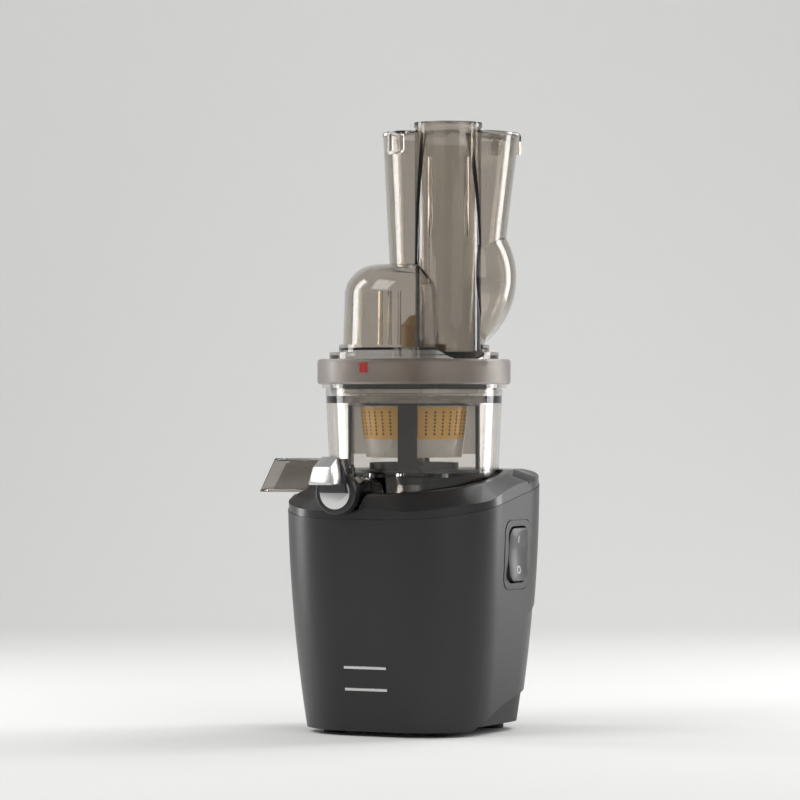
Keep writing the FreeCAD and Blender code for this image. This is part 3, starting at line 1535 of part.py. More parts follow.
def drum_ribs():
    """Upright fins inside the drum's front."""
    fins = []
    outer = S.drum_high_radius - S.wall_gap
    for index in range(SIZES["drum_rib_count"]):
        bearing = SIZES["drum_rib_bearing"] + index * SIZES["drum_rib_step"]
        frame = FreeCAD.Placement(FreeCAD.Vector(), FreeCAD.Rotation(VERTICAL, bearing))
        fins.append(box(f"drum_rib_{index}", (-S.drum_rib / 2, S.drum_rib / 2),
                        (-outer, -outer + S.drum_rib_depth), (S.drum_rib_low, S.drum_rib_high), frame))
    return fins


def flap_frame():
    """The chute mouth's frame, its front turned towards the grip tab."""
    spot = FreeCAD.Vector(SIZES["mouth_x"], SIZES["mouth_y"], SIZES["mouth_level"])
    return FreeCAD.Placement(spot, FreeCAD.Rotation(VERTICAL, -SIZES["flap_bearing"]))


def hinge_rod(name, radius, half, offset=0):
    """A rod along the flap's hinge axis."""
    bar = doc.addObject("Part::Cylinder", name)
    bind(bar, "Radius", radius)
    bind(bar, "Height", 2 * half)
    start = FreeCAD.Vector(as_size(offset).value - half.value, SIZES["flap_hinge"],
                           SIZES["flap_hinge_rise"])
    bar.Placement = flap_frame().multiply(FreeCAD.Placement(start, FreeCAD.Rotation(BACKWARD, 90)))
    return bar


def flap_lugs():
    """The hopper's two hinge ears behind the wide mouth."""
    ears = []
    for side in (-1, 1):
        middle = side * (S.flap_knuckle_half + S.wall_gap + S.flap_lug / 2)
        ears.append(hinge_rod(f"flap_ear_{side}", S.flap_knuckle, S.flap_lug / 2, middle))
        ears.append(box(f"flap_ear_arm_{side}", (middle - S.flap_lug / 2, middle + S.flap_lug / 2),
                        (S.mouth_round - S.ear_lap, S.flap_hinge + S.flap_knuckle),
                        (-S.ear_drop, S.flap_hinge_rise - S.flap_knuckle + S.wall_gap), flap_frame()))
        ears.append(box(f"flap_ear_post_{side}", (middle - S.flap_lug / 2, middle + S.flap_lug / 2),
                        (S.flap_hinge - S.flap_knuckle, S.flap_hinge + S.flap_knuckle),
                        (S.flap_hinge_rise - S.flap_knuckle, S.flap_hinge_rise), flap_frame()))
    return ears


def build_feed_tube():
    foot = tube_foot()
    inner = S.tube_radius - S.tube_wall
    rim = S.tube_radius + S.tube_rim
    pipe = place(lathe("feed_pipe", [
        (inner, foot), (S.tube_radius, foot), (S.tube_radius, S.tube_top - S.tube_rim_rise),
        (rim, S.tube_top - S.tube_rim_rise), (rim, S.tube_top), (inner, S.tube_top)]), S.tube_x, S.tube_y)
    guides = []
    spot = FreeCAD.Vector(SIZES["tube_x"], SIZES["tube_y"], 0)
    for side in (-1, 1):
        bearing = SIZES["guide_bearing"] + side * SIZES["guide_spread"]
        frame = FreeCAD.Placement(spot, FreeCAD.Rotation(VERTICAL, bearing))
        guides.append(box(f"tube_guide_{side}", (-S.guide_width / 2, S.guide_width / 2),
                          (-S.tube_radius + S.tube_wall / 2, -inner + S.guide_depth),
                          (S.guide_low, S.guide_high), frame))
    keep(fuse("feed_tube", [pipe] + guides), "feed_tube")


def build_chute_lid():
    reach = S.mouth_round + S.deck_inset
    low, top = S.flap_gap, S.flap_gap + S.flap_plate
    crown = lathe("flap_crown", [
        (0, low + S.flap_crown), (reach, low), (reach, top), (0, top + S.flap_crown)])
    crown.Placement = flap_frame()
    link = box("flap_link", (-S.flap_knuckle_half, S.flap_knuckle_half),
               (S.mouth_round - S.ear_lap, S.flap_hinge), (low, top), flap_frame())
    knuckle = hinge_rod("flap_knuckle", S.flap_knuckle, S.flap_knuckle_half)
    grip_back, grip_front = reach, reach + S.grip_plate
    grip = box("flap_grip", (-S.grip_width / 2, S.grip_width / 2), (-grip_front, -grip_back),
               (top - S.grip_drop, top),
               flap_frame())
    bridge = box("flap_bridge", (-S.grip_width / 2, S.grip_width / 2),
                 (-grip_front, -S.mouth_round + S.grip_lap),
                 (low, top), flap_frame())
    opening = box("flap_grip_opening",
                  (-S.grip_width / 2 + S.grip_border, S.grip_width / 2 - S.grip_border),
                  (-grip_front - S.grip_plate, -grip_back),
                  (top - S.grip_drop + S.grip_border, low - S.grip_border / 2), flap_frame())
    knob_x, knob_y = polar(SIZES["mouth_round"] - 2 * SIZES["knob_radius"], SIZES["knob_turn"])
    knob = doc.addObject("Part::Cylinder", "flap_knob")
    bind(knob, "Radius", S.knob_radius)
    bind(knob, "Height", S.knob_rise)
    knob.Placement = flap_frame().multiply(FreeCAD.Placement(
        FreeCAD.Vector(knob_x, knob_y, low.value), FreeCAD.Rotation()))
    solid = fuse("flap_solid", [crown, link, knuckle, grip, bridge, knob])
    gap = S.tube_radius + S.tube_rim + S.flap_slot_gap
    tube_room = rod("flap_tube_room", gap, S.tube_top, S.tube_x, S.tube_y, S.neck_level)
    outward = math.degrees(math.atan2(SIZES["tube_y"] - SIZES["mouth_y"],
                                      SIZES["tube_x"] - SIZES["mouth_x"]))
    slot = box("flap_tube_slot", (0, 2 * gap), (-gap, gap), (S.neck_level, S.tube_top + S.neck_level),
               FreeCAD.Placement(FreeCAD.Vector(SIZES["tube_x"], SIZES["tube_y"], 0),
                                 FreeCAD.Rotation(VERTICAL, outward)))
    bore = hinge_rod("flap_bore", S.flap_pin + S.run_fit, 2 * S.flap_knuckle_half)
    keep(cut("chute_lid", solid, [opening, tube_room, slot, bore]), "chute_lid")
    keep(hinge_rod("chute_hinge_pin", S.flap_pin, S.flap_knuckle_half + S.wall_gap + S.flap_lug),
         "chute_hinge_pin")


def check_document():
    for item in doc.Objects:
        if "Invalid" in item.State or "Error" in item.State:
            raise RuntimeError(f"{item.Name} failed: {item.State}")
    for name, item in pieces.items():
        if item.Shape.isNull() or not item.Shape.isValid():
            raise RuntimeError(f"{name} has no valid shape")


def write_pieces():
    os.makedirs("parts", exist_ok=True)
    for name, item in pieces.items():
        item.Shape.exportStep(f"parts/{name}.step")


def main():
    fill_sheet()
    build_housing()
    build_badge_bars()
    build_tray()
    build_deck()
    build_switch()
    build_motor()
    build_gears()
    build_drive_shaft()
    build_electrics()
    build_bowl()
    build_collar()
    build_cap()
    build_pulp_chute()
    build_strainer()
    build_auger()
    build_wiper_gears()
    build_wiper()
    build_hopper()
    build_feed_tube()
    build_chute_lid()
    doc.recompute()
    check_document()
    write_pieces()


main()
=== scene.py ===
"""Studio scene of a vertical slow juicer: finishes, fine pieces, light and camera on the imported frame."""

from __future__ import annotations

import json
import logging
import math
from dataclasses import dataclass
from enum import Enum
from typing import Any, Iterable, Sequence

import bmesh
import bpy
from mathutils import Matrix, Vector

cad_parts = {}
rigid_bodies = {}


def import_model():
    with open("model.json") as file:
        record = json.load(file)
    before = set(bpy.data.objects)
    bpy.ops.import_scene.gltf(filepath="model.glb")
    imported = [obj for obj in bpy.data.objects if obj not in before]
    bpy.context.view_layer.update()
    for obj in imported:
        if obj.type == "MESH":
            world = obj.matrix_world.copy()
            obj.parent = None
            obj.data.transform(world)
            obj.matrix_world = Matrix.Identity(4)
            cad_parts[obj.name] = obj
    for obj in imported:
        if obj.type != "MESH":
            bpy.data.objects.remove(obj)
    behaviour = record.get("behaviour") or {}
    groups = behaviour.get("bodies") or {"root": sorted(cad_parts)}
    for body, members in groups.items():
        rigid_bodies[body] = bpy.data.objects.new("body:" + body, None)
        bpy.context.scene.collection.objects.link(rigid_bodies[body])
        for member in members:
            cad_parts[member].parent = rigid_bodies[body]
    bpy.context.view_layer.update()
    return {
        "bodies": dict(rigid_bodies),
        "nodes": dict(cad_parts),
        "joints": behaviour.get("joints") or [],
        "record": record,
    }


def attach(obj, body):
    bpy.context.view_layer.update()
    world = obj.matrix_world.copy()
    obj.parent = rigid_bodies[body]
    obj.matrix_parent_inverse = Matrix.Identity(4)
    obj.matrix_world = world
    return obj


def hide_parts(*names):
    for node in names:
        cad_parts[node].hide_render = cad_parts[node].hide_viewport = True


log = logging.getLogger("slow_juicer")

Colour = tuple[float, float, float]
Point = tuple[float, float, float]

# One millimetre in metres
MM = 0.001
FULL_TURN = 2 * math.pi

# Steps in a full turn of a turned piece
TURN_STEPS = 64

# Edges sharper than this are rounded and shaded as edges, in degrees
SHARP_ANGLE = 32.0

# Segments across a rounded edge
EDGE_SEGMENTS = 2

# Points nearer than this are one point, in metres, and faces flatter than this are one face, in degrees
DOUBLE_GAP = 2e-6
FLAT_ANGLE = 0.4

# Middle of a noise that runs from 0 to 1, and a stretch that leaves it as it is
MIDDLE = 0.5
EVEN = (1.0, 1.0, 1.0)

# Colour sockets of a Mix node
MIX_FIRST = 6
MIX_SECOND = 7
MIX_RESULT = 2


class Axis(Enum):
    """Directions in which a finish is brushed, as stretch factors of its lines."""

    X = (0.04, 1.0, 1.0)
    Z = (1.0, 1.0, 0.04)


class Body(str, Enum):
    """Names of the bodies that new pieces ride on."""

    BASE = "base"
    ROCKER = "rocker"
    BOWL = "bowl"
    CAP = "cap"
    LID = "lid"
    FLAP = "flap"


class Value:
    """A socket of a node tree, whose operators add Math nodes to that tree."""

    def __init__(self, tree: "NodeTree", socket: bpy.types.NodeSocket) -> None:
        """Wraps a socket of a tree."""
        self.tree = tree
        self.socket = socket

    def _math(self, operation: str, first: Any, second: Any = 0.0) -> "Value":
        """Adds one Math node.

        Args:
            operation: The Math node's operation.
            first: Left value, a Value or a number.
            second: Right value, a Value or a number, where the operation takes two.

        Returns:
            The node's result.
        """
        return self.tree.node("ShaderNodeMath", {"operation": operation}, {0: first, 1: second})

    def __add__(self, other: Any) -> "Value":
        """Sum."""
        return self._math("ADD", self, other)

    def __radd__(self, other: Any) -> "Value":
        """Reflected sum."""
        return self._math("ADD", other, self)

    def __sub__(self, other: Any) -> "Value":
        """Difference."""
        return self._math("SUBTRACT", self, other)

    def __rsub__(self, other: Any) -> "Value":
        """Reflected difference."""
        return self._math("SUBTRACT", other, self)

    def __mul__(self, other: Any) -> "Value":
        """Product."""
        return self._math("MULTIPLY", self, other)

    def __rmul__(self, other: Any) -> "Value":
        """Reflected product."""
        return self._math("MULTIPLY", other, self)

    def __truediv__(self, other: Any) -> "Value":
        """Quotient."""
        return self._math("DIVIDE", self, other)

    def __rtruediv__(self, other: Any) -> "Value":
        """Reflected quotient."""
        return self._math("DIVIDE", other, self)

    def __mod__(self, other: Any) -> "Value":
        """Remainder."""
        return self._math("MODULO", self, other)

    def __rmod__(self, other: Any) -> "Value":
        """Reflected remainder."""
        return self._math("MODULO", other, self)

    def power(self, exponent: float) -> "Value":
        """Raises the value to an exponent."""
        return self._math("POWER", self, exponent)

    def floor(self) -> "Value":
        """Rounds the value down to a whole number."""
        return self._math("FLOOR", self)

    def cosine(self) -> "Value":
        """Cosine of an angle in radians."""
        return self._math("COSINE", self)

    def sine(self) -> "Value":
        """Sine of an angle in radians."""
        return self._math("SINE", self)


class NodeTree:
    """A node tree with one method that makes every node."""

    def __init__(self, tree: bpy.types.NodeTree) -> None:
        """Keeps the tree."""
        self.tree = tree

    def make(self, kind: str, settings: dict[str, Any] | None = None,
             inputs: dict[Any, Any] | None = None) -> bpy.types.Node:
        """Makes a node.

        Args:
            kind: The node's type name.
            settings: Properties that are set before its sockets.
            inputs: Values or links by socket name or index.

        Returns:
            The node.
        """
        made = self.tree.nodes.new(kind)
        for name, value in (settings or {}).items():
            setattr(made, name, value)
        for key, value in (inputs or {}).items():
            self.feed(made.inputs[key], value)
        return made

    def node(self, kind: str, settings: dict[str, Any] | None = None,
             inputs: dict[Any, Any] | None = None, output: Any = 0) -> Value:
        """Makes a node for one of its outputs.

        Args:
            kind: The node's type name.
            settings: Properties that are set before its sockets.
            inputs: Values or links by socket name or index.
            output: Name or index of the wanted output.

        Returns:
            That output.
        """
        return Value(self, self.make(kind, settings, inputs).outputs[output])

    def feed(self, socket: bpy.types.NodeSocket, value: Any) -> None:
        """Feeds a socket.

        Args:
            socket: The socket.
            value: A Value, which is linked to it, or a plain value, which is set on it.
        """
        if isinstance(value, Value):
            self.tree.links.new(value.socket, socket)
        else:
            socket.default_value = value


class SurfaceTree(NodeTree):
    """A new material's node tree, built round one surface shader."""

    def __init__(self, name: str) -> None:
        """Starts the material with its shader and output.

        Args:
            name: The material's name.
        """
        self.material = bpy.data.materials.new(name)
        self.material.use_nodes = True
        super().__init__(self.material.node_tree)
        self.tree.nodes.clear()
        self.shader = self.make("ShaderNodeBsdfPrincipled")
        self.lit = Value(self, self.shader.outputs[0])
        self.output = self.make("ShaderNodeOutputMaterial", None, {"Surface": self.lit})

    def shade(self, **inputs: Any) -> None:
        """Feeds the surface shader, where underscores in names stand for spaces."""
        for name, value in inputs.items():
            self.feed(self.shader.inputs[name.replace("_", " ")], value)

    def coordinates(self, stretch: Sequence[float]) -> Value:
        """Object coordinates, drawn out by a stretch on each axis."""
        raw = self.node("ShaderNodeTexCoord", output="Object")
        inputs = {"Vector": raw, "Scale": tuple(stretch)}
        return self.node("ShaderNodeMapping", {"vector_type": "POINT"}, inputs)

    def noise(self, scale: float, detail: float, stretch: Sequence[float] = EVEN) -> Value:
        """Noise from 0 to 1.

        Args:
            scale: Cells in a metre.
            detail: Finer layers in it.
            stretch: Draws the cells out on each axis.

        Returns:
            The noise.
        """
        inputs = {"Vector": self.coordinates(stretch), "Scale": scale, "Detail": detail}
        return self.node("ShaderNodeTexNoise", {"noise_dimensions": "3D"}, inputs)

    def blend(self, factor: Value, first: Colour, second: Colour) -> Value:
        """Mixes two colours by a factor."""
        inputs = {"Factor": factor, MIX_FIRST: (*first, 1.0), MIX_SECOND: (*second, 1.0)}
        return self.node("ShaderNodeMix", {"data_type": "RGBA"}, inputs, output=MIX_RESULT)

    def bump(self, height: Value, strength: float, depth: float) -> Value:
        """A normal raised by a height field, its depth in metres."""
        inputs = {"Height": height, "Strength": strength, "Distance": depth}
        return self.node("ShaderNodeBump", None, inputs)


def scaled(colour: Colour, share: float) -> Colour:
    """A colour made darker or lighter by a share."""
    return (colour[0] * share, colour[1] * share, colour[2] * share)


@dataclass(frozen=True)
class MouldedPlastic:
    """Opaque moulded plastic with a spark-eroded grain and uneven sheen."""

    name: str
    colour: Colour
    roughness: float
    grain: float = 0.25
    grain_scale: float = 1400.0
    coat: float = 0.0
    grain_detail: float = 1.0
    grain_depth: float = 0.00012
    grain_sheen: float = 0.06
    cloud_scale: float = 18.0
    cloud_detail: float = 3.0
    cloud_sheen: float = 0.08
    dark: float = 0.88
    light: float = 1.12
    coat_roughness: float = 0.06

    def material(self) -> bpy.types.Material:
        """Builds the material.

        Returns:
            The material.
        """
        surface = SurfaceTree(self.name)
        cloud = surface.noise(self.cloud_scale, self.cloud_detail)
        grain = surface.noise(self.grain_scale, self.grain_detail)
        cloud_sheen = (cloud - MIDDLE) * self.cloud_sheen
        grain_sheen = (grain - MIDDLE) * self.grain_sheen
        dark, light = scaled(self.colour, self.dark), scaled(self.colour, self.light)
        surface.shade(
            Base_Color=surface.blend(cloud, dark, light),
            Roughness=self.roughness + cloud_sheen + grain_sheen,
            Normal=surface.bump(grain, self.grain, self.grain_depth),
            Coat_Weight=self.coat,
            Coat_Roughness=self.coat_roughness)
        return surface.material


@dataclass(frozen=True)
class SmokedClear:
    """Clear smoked resin with faint flow lines from moulding."""

    name: str
    tint: Colour
    roughness: float = 0.03
    haze: float = 0.03
    transmission: float = 1.0
    ior: float = 1.46
    flow_scale: float = 26.0
    flow_detail: float = 2.0
    flow_stretch: tuple[float, float, float] = (1.0, 1.0, 0.35)
    ripple: float = 0.04
    ripple_depth: float = 0.0004
    dark: float = 0.95
    light: float = 1.04

    def material(self) -> bpy.types.Material:
        """Builds the material.

        Returns:
            The material.
        """
        surface = SurfaceTree(self.name)
        flow = surface.noise(self.flow_scale, self.flow_detail, self.flow_stretch)
        dark, light = scaled(self.tint, self.dark), scaled(self.tint, self.light)
        surface.shade(
            Base_Color=surface.blend(flow, dark, light),
            Roughness=self.roughness + flow * self.haze,
            Normal=surface.bump(flow, self.ripple, self.ripple_depth),
            Transmission_Weight=self.transmission,
            IOR=self.ior)
        return surface.material


@dataclass(frozen=True)
class SatinMetal:
    """Metal or metallised plastic brushed along one axis."""

    name: str
    colour: Colour
    roughness: float
    brushed: Axis = Axis.X
    brushing: float = 0.12
    line_scale: float = 2600.0
    line_detail: float = 2.0
    line_depth: float = 0.00006
    line_sheen: float = 0.16
    cloud_scale: float = 40.0
    cloud_detail: float = 2.0
    cloud_sheen: float = 0.06
    dark: float = 0.86

    def material(self) -> bpy.types.Material:
        """Builds the material.

        Returns:
            The material.
        """
        surface = SurfaceTree(self.name)
        lines = surface.noise(self.line_scale, self.line_detail, self.brushed.value)
        cloud = surface.noise(self.cloud_scale, self.cloud_detail)
        line_sheen = (lines - MIDDLE) * self.line_sheen
        cloud_sheen = (cloud - MIDDLE) * self.cloud_sheen
        surface.shade(
            Base_Color=surface.blend(lines, scaled(self.colour, self.dark), self.colour),
            Roughness=self.roughness + line_sheen + cloud_sheen,
            Metallic=1.0,
            Normal=surface.bump(lines, self.brushing, self.line_depth))
        return surface.material


@dataclass(frozen=True)
class SoftRubber:
    """Rubber or silicone with a dusty bloom."""

    name: str
    colour: Colour
    roughness: float = 0.75
    bloom_scale: float = 90.0
    bloom_detail: float = 4.0
    bloom_curve: float = 2.0
    bloom_sheen: float = 0.12
    grain: float = 0.2
    grain_scale: float = 900.0
    grain_detail: float = 1.0
    grain_depth: float = 0.0001
    light: float = 1.5

    def material(self) -> bpy.types.Material:
        """Builds the material.

        Returns:
            The material.
        """
        surface = SurfaceTree(self.name)
        bloom = surface.noise(self.bloom_scale, self.bloom_detail)
        grain = surface.noise(self.grain_scale, self.grain_detail)
        dust = bloom.power(self.bloom_curve)
        surface.shade(
            Base_Color=surface.blend(dust, self.colour, scaled(self.colour, self.light)),
            Roughness=self.roughness + (bloom - MIDDLE) * self.bloom_sheen,
            Normal=surface.bump(grain, self.grain, self.grain_depth))
        return surface.material


@dataclass(frozen=True)
class CopperWire:
    """Varnished copper turns lying round an axis."""

    name: str
    colour: Colour
    roughness: float = 0.35
    metallic: float = 0.9
    varnish: float = 0.4
    turn_scale: float = 260.0
    turn_waver: float = 1.5
    turn_relief: float = 0.5
    turn_depth: float = 0.0004
    dark: float = 0.55

    def material(self) -> bpy.types.Material:
        """Builds the material.

        Returns:
            The material.
        """
        surface = SurfaceTree(self.name)
        place = surface.coordinates(EVEN)
        turns = surface.node("ShaderNodeTexWave", {"wave_type": "RINGS", "rings_direction": "Z"},
                             {"Vector": place, "Scale": self.turn_scale, "Distortion": self.turn_waver})
        surface.shade(
            Base_Color=surface.blend(turns, scaled(self.colour, self.dark), self.colour),
            Metallic=self.metallic,
            Roughness=self.roughness,
            Normal=surface.bump(turns, self.turn_relief, self.turn_depth),
            Coat_Weight=self.varnish)
        return surface.material


class Palette:
    """Every finish of the juicer, made once and handed out by name."""

    def __init__(self) -> None:
        """Builds all materials."""
        gloss = {"grain": 0.08, "grain_scale": 900.0}
        milky = {"haze": 0.1, "transmission": 0.3}
        finishes: list[Any] = [
            MouldedPlastic("housing_black", (0.013, 0.013, 0.0135), roughness=0.37, grain=0.3),
            MouldedPlastic("deck_black", (0.009, 0.009, 0.0095), roughness=0.3, coat=0.15, **gloss),
            MouldedPlastic("tray_black", (0.012, 0.012, 0.0125), roughness=0.55, grain=0.4),
            SoftRubber("foot_rubber", (0.018, 0.018, 0.018)),
            SatinMetal("silver_trim", (0.74, 0.74, 0.73), roughness=0.24),
            MouldedPlastic("rocker_black", (0.008, 0.008, 0.009), roughness=0.34, grain=0.06,
                           grain_scale=900.0, coat=0.1),
            SatinMetal("fastener_steel", (0.56, 0.56, 0.57), roughness=0.3, brushed=Axis.Z),
            SatinMetal("motor_steel", (0.40, 0.41, 0.43), roughness=0.42, brushing=0.3),
            CopperWire("winding_copper", (0.78, 0.36, 0.16)),
            SatinMetal("bell_aluminium", (0.66, 0.67, 0.68), roughness=0.45, brushing=0.25),
            MouldedPlastic("gear_plastic", (0.72, 0.70, 0.62), roughness=0.42, grain=0.1),
            MouldedPlastic("fan_plastic", (0.05, 0.05, 0.055), roughness=0.5),
            MouldedPlastic("case_plastic", (0.085, 0.085, 0.09), roughness=0.5),
            MouldedPlastic("board_green", (0.02, 0.13, 0.05), roughness=0.3, grain=0.1,
                           grain_scale=600.0, coat=0.3),
            SmokedClear("hopper_clear", (0.66, 0.62, 0.57)),
            SmokedClear("bowl_clear", (0.91, 0.885, 0.855)),
            SmokedClear("chute_clear", (0.40, 0.37, 0.34), roughness=0.08),
            SmokedClear("frosted_clear", (0.64, 0.58, 0.54), roughness=0.3, haze=0.1, transmission=0.92),
            SoftRubber("seal_rubber", (0.05, 0.05, 0.05)),
            MouldedPlastic("cap_black", (0.013, 0.013, 0.014), roughness=0.26, coat=0.3, **gloss),
            SmokedClear("amber_resin", (1.0, 0.58, 0.13), roughness=0.3, haze=0.08, transmission=0.15),
            SmokedClear("strainer_clear", (0.95, 0.89, 0.80), roughness=0.22, **milky),
            SmokedClear("auger_resin", (0.62, 0.40, 0.18), roughness=0.28, **milky),
            MouldedPlastic("wiper_resin", (0.012, 0.011, 0.010), roughness=0.36, grain=0.1),
            SmokedClear("blade_silicone", (0.88, 0.85, 0.81), roughness=0.4, haze=0.1, transmission=0.7),
            MouldedPlastic("mark_red", (0.34, 0.014, 0.012), roughness=0.4, grain=0.1),
            MouldedPlastic("mark_white", (0.62, 0.62, 0.60), roughness=0.5, grain=0.1),
            # The slot finish is painted shade: a dark colour for the shade seen through the sieve's slots.
            MouldedPlastic("slot_painted_shade", (0.06, 0.025, 0.008), roughness=0.6, grain=0.1),
        ]
        self.materials = {finish.name: finish.material() for finish in finishes}

    def __getitem__(self, name: str) -> bpy.types.Material:
        """The material of a finish."""
        return self.materials[name]


def placed(name: str, data: bpy.types.ID) -> bpy.types.Object:
    """Puts a new object at the scene's origin.

    Args:
        name: Its name.
        data: Its mesh, light or camera.

    Returns:
        The object.
    """
    made = bpy.data.objects.new(name, data)
    bpy.context.scene.collection.objects.link(made)
    return made


def evaluated(carrier: bpy.types.Object) -> bpy.types.Mesh:
    """A plain mesh of an object as its modifiers leave it."""
    graph = bpy.context.evaluated_depsgraph_get()
    return bpy.data.meshes.new_from_object(carrier.evaluated_get(graph))


class GeometryTree(NodeTree):
    """A geometry tree with named inputs, run once into a plain mesh."""

    def __init__(self, name: str) -> None:
        """Starts an empty tree with its geometry output.

        Args:
            name: The tree's name.
        """
        super().__init__(bpy.data.node_groups.new(name, "GeometryNodeTree"))
        self.tree.interface.new_socket("Geometry", in_out="OUTPUT", socket_type="NodeSocketGeometry")
        self.values: dict[str, float] = {}
        self.source = self.make("NodeGroupInput")

    def size(self, name: str, value: float, whole: bool = False) -> Value:
        """Adds a named input.

        Args:
            name: The input's name.
            value: Its value.
            whole: True for a count.

        Returns:
            The input as the tree reads it.
        """
        kind = "NodeSocketInt" if whole else "NodeSocketFloat"
        entry = self.tree.interface.new_socket(name, in_out="INPUT", socket_type=kind)
        self.values[entry.identifier] = int(value) if whole else float(value)
        return Value(self, self.source.outputs[name])

    def mesh(self, geometry: Value, material: bpy.types.Material, name: str) -> bpy.types.Object:
        """Realizes the tree's instances into a plain mesh object.

        Args:
            geometry: The output with the instances.
            material: Their material.
            name: Name of the new object.

        Returns:
            The object, with no modifier left.
        """
        real = self.node("GeometryNodeRealizeInstances", None, {0: geometry})
        painted = self.node("GeometryNodeSetMaterial", None, {"Geometry": real, "Material": material})
        self.make("NodeGroupOutput", None, {0: painted})
        carrier = placed(f"{name}_carrier", bpy.data.meshes.new(f"{name}_carrier"))
        modifier = carrier.modifiers.new("pattern", "NODES")
        modifier.node_group = self.tree
        for identifier, value in self.values.items():
            modifier[identifier] = value
        made = evaluated(carrier)
        bpy.data.objects.remove(carrier)
        made.name = name
        return placed(name, made)


def rectangle(near: float, far: float, low: float, high: float) -> list[tuple[float, float]]:
    """Corners of a ring's section between two radii and two levels."""
    return [(near, low), (far, low), (far, high), (near, high)]


def turned(section: Sequence[tuple[float, float]], place: Matrix | None = None) -> bmesh.types.BMesh:
    """Turns a closed section round an axis.

    Args:
        section: Its corners, as radius and height in millimetres.
        place: Moves the finished ring, whose axis is Z at the origin.

    Returns:
        The ring as an edit mesh in metres.
    """
    work = bmesh.new()
    rings = []
    for step in range(TURN_STEPS):
        angle = FULL_TURN * step / TURN_STEPS
        across, along = math.cos(angle), math.sin(angle)
        corners = [Vector((radius * across, radius * along, level)) * MM for radius, level in section]
        rings.append([work.verts.new(corner) for corner in corners])
    count = len(section)
    for one, two in zip(rings, rings[1:] + rings[:1]):
        for index in range(count):
            after = (index + 1) % count
            work.faces.new((one[index], one[after], two[after], two[index]))
    if place is not None:
        bmesh.ops.transform(work, matrix=place, verts=work.verts)
    return work


class Workshop:
    """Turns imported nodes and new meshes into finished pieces."""

    def __init__(self, frame: dict[str, Any], palette: Palette) -> None:
        """Keeps the frame's nodes and slots and the finishes.

        Args:
            frame: The loaded frame.
            palette: The finishes.
        """
        self.nodes = frame["nodes"]
        self.record_slots = {entry["slot"] for entry in frame["record"]["materials"]}
        self.palette = palette

    def paint(self, finish: str, names: Iterable[str]) -> None:
        """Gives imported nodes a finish.

        Args:
            finish: The finish.
            names: The nodes.
        """
        for name in names:
            for holder in self.nodes[name].material_slots:
                holder.material = self.palette[finish]
            log.info("painted %s with %s", name, finish)

    def soften(self, name: str, body: Body, finish: str, width: float) -> None:
        """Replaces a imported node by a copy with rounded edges.

        Args:
            name: The node.
            body: The body it belongs to.
            finish: Its finish.
            width: Width of the rounding in millimetres.
        """
        piece = placed(f"{name}_soft", self.merged(name))
        bevel = piece.modifiers.new("edge", "BEVEL")
        bevel.width = width * MM
        bevel.segments = EDGE_SEGMENTS
        bevel.limit_method = "ANGLE"
        bevel.angle_limit = math.radians(SHARP_ANGLE)
        bevel.use_clamp_overlap = True
        finished = evaluated(piece)
        piece.modifiers.clear()
        piece.data = finished
        self.settle(piece, body, finish)
        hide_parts(name)

    def merged(self, name: str) -> bpy.types.Mesh:
        """Copies a node's mesh, merges its doubles and joins its flat faces.

        Args:
            name: The node.

        Returns:
            The new mesh.
        """
        mesh = self.nodes[name].data.copy()
        if "custom_normal" in mesh.attributes:
            mesh.attributes.remove(mesh.attributes["custom_normal"])
        work = bmesh.new()
        work.from_mesh(mesh)
        bmesh.ops.remove_doubles(work, verts=work.verts, dist=DOUBLE_GAP)
        flat = math.radians(FLAT_ANGLE)
        bmesh.ops.dissolve_limit(work, angle_limit=flat, verts=work.verts, edges=work.edges)
        work.to_mesh(mesh)
        work.free()
        return mesh

    def solid(self, name: str, work: bmesh.types.BMesh, body: Body, finish: str) -> None:
        """Turns an edit mesh into a finished piece.

        Args:
            name: The piece's name.
            work: Its shape in metres, freed here.
            body: The body it rides on.
            finish: Its finish.
        """
        mesh = bpy.data.meshes.new(name)
        bmesh.ops.recalc_face_normals(work, faces=work.faces)
        work.to_mesh(mesh)
        work.free()
        self.settle(placed(name, mesh), body, finish)

    def settle(self, piece: bpy.types.Object, body: Body, finish: str, smooth: bool = True) -> None:
        """Shades and paints a new piece and lets it ride on its body.

        Args:
            piece: The piece.
            body: The body it rides on.
            finish: Its finish.
            smooth: False for a piece of flat faces.
        """
        if smooth:
            piece.data.shade_smooth()
            piece.data.set_sharp_from_angle(angle=math.radians(SHARP_ANGLE))
        piece.data.materials.clear()
        piece.data.materials.append(self.palette[finish])
        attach(piece, body.value)
        log.info("made %s on %s", piece.name, body.value)


@dataclass
class MotorBase:
    """Housing, deck, tray and feet, with all that is sealed inside, sizes in millimetres."""

    edge: float = 0.8

    def dress(self, shop: Workshop) -> None:
        """Finishes the base.

        Args:
            shop: Makes the finished pieces.
        """
        shop.paint("housing_black", ["base_housing"])
        shop.paint("deck_black", ["base_deck"])
        shop.paint("tray_black", ["base_tray"])
        shop.soften("rubber_feet", Body.BASE, "foot_rubber", self.edge)
        shop.soften("cord_gland", Body.BASE, "foot_rubber", self.edge)
        shop.soften("badge_bars", Body.BASE, "silver_trim", self.edge / 2)
        shop.paint("fastener_steel", ["tray_screws", "gearbox_screws", "motor_bearings", "output_bearing"])
        shop.paint("fastener_steel", ["motor_shaft", "motor_pinion", "counter_shaft", "counter_pinion"])
        shop.paint("fastener_steel", ["drive_shaft"])
        shop.paint("motor_steel", ["motor_stator", "rotor_core"])
        shop.paint("winding_copper", ["motor_windings"])
        shop.paint("bell_aluminium", ["motor_lower_bell", "motor_upper_bell"])
        shop.paint("gear_plastic", ["counter_gear", "output_gear", "shaft_bush"])
        shop.paint("fan_plastic", ["motor_fan"])
        shop.paint("case_plastic", ["gearbox_case", "gearbox_cover"])
        shop.paint("board_green", ["control_board"])
        shop.paint("seal_rubber", ["shaft_seal"])


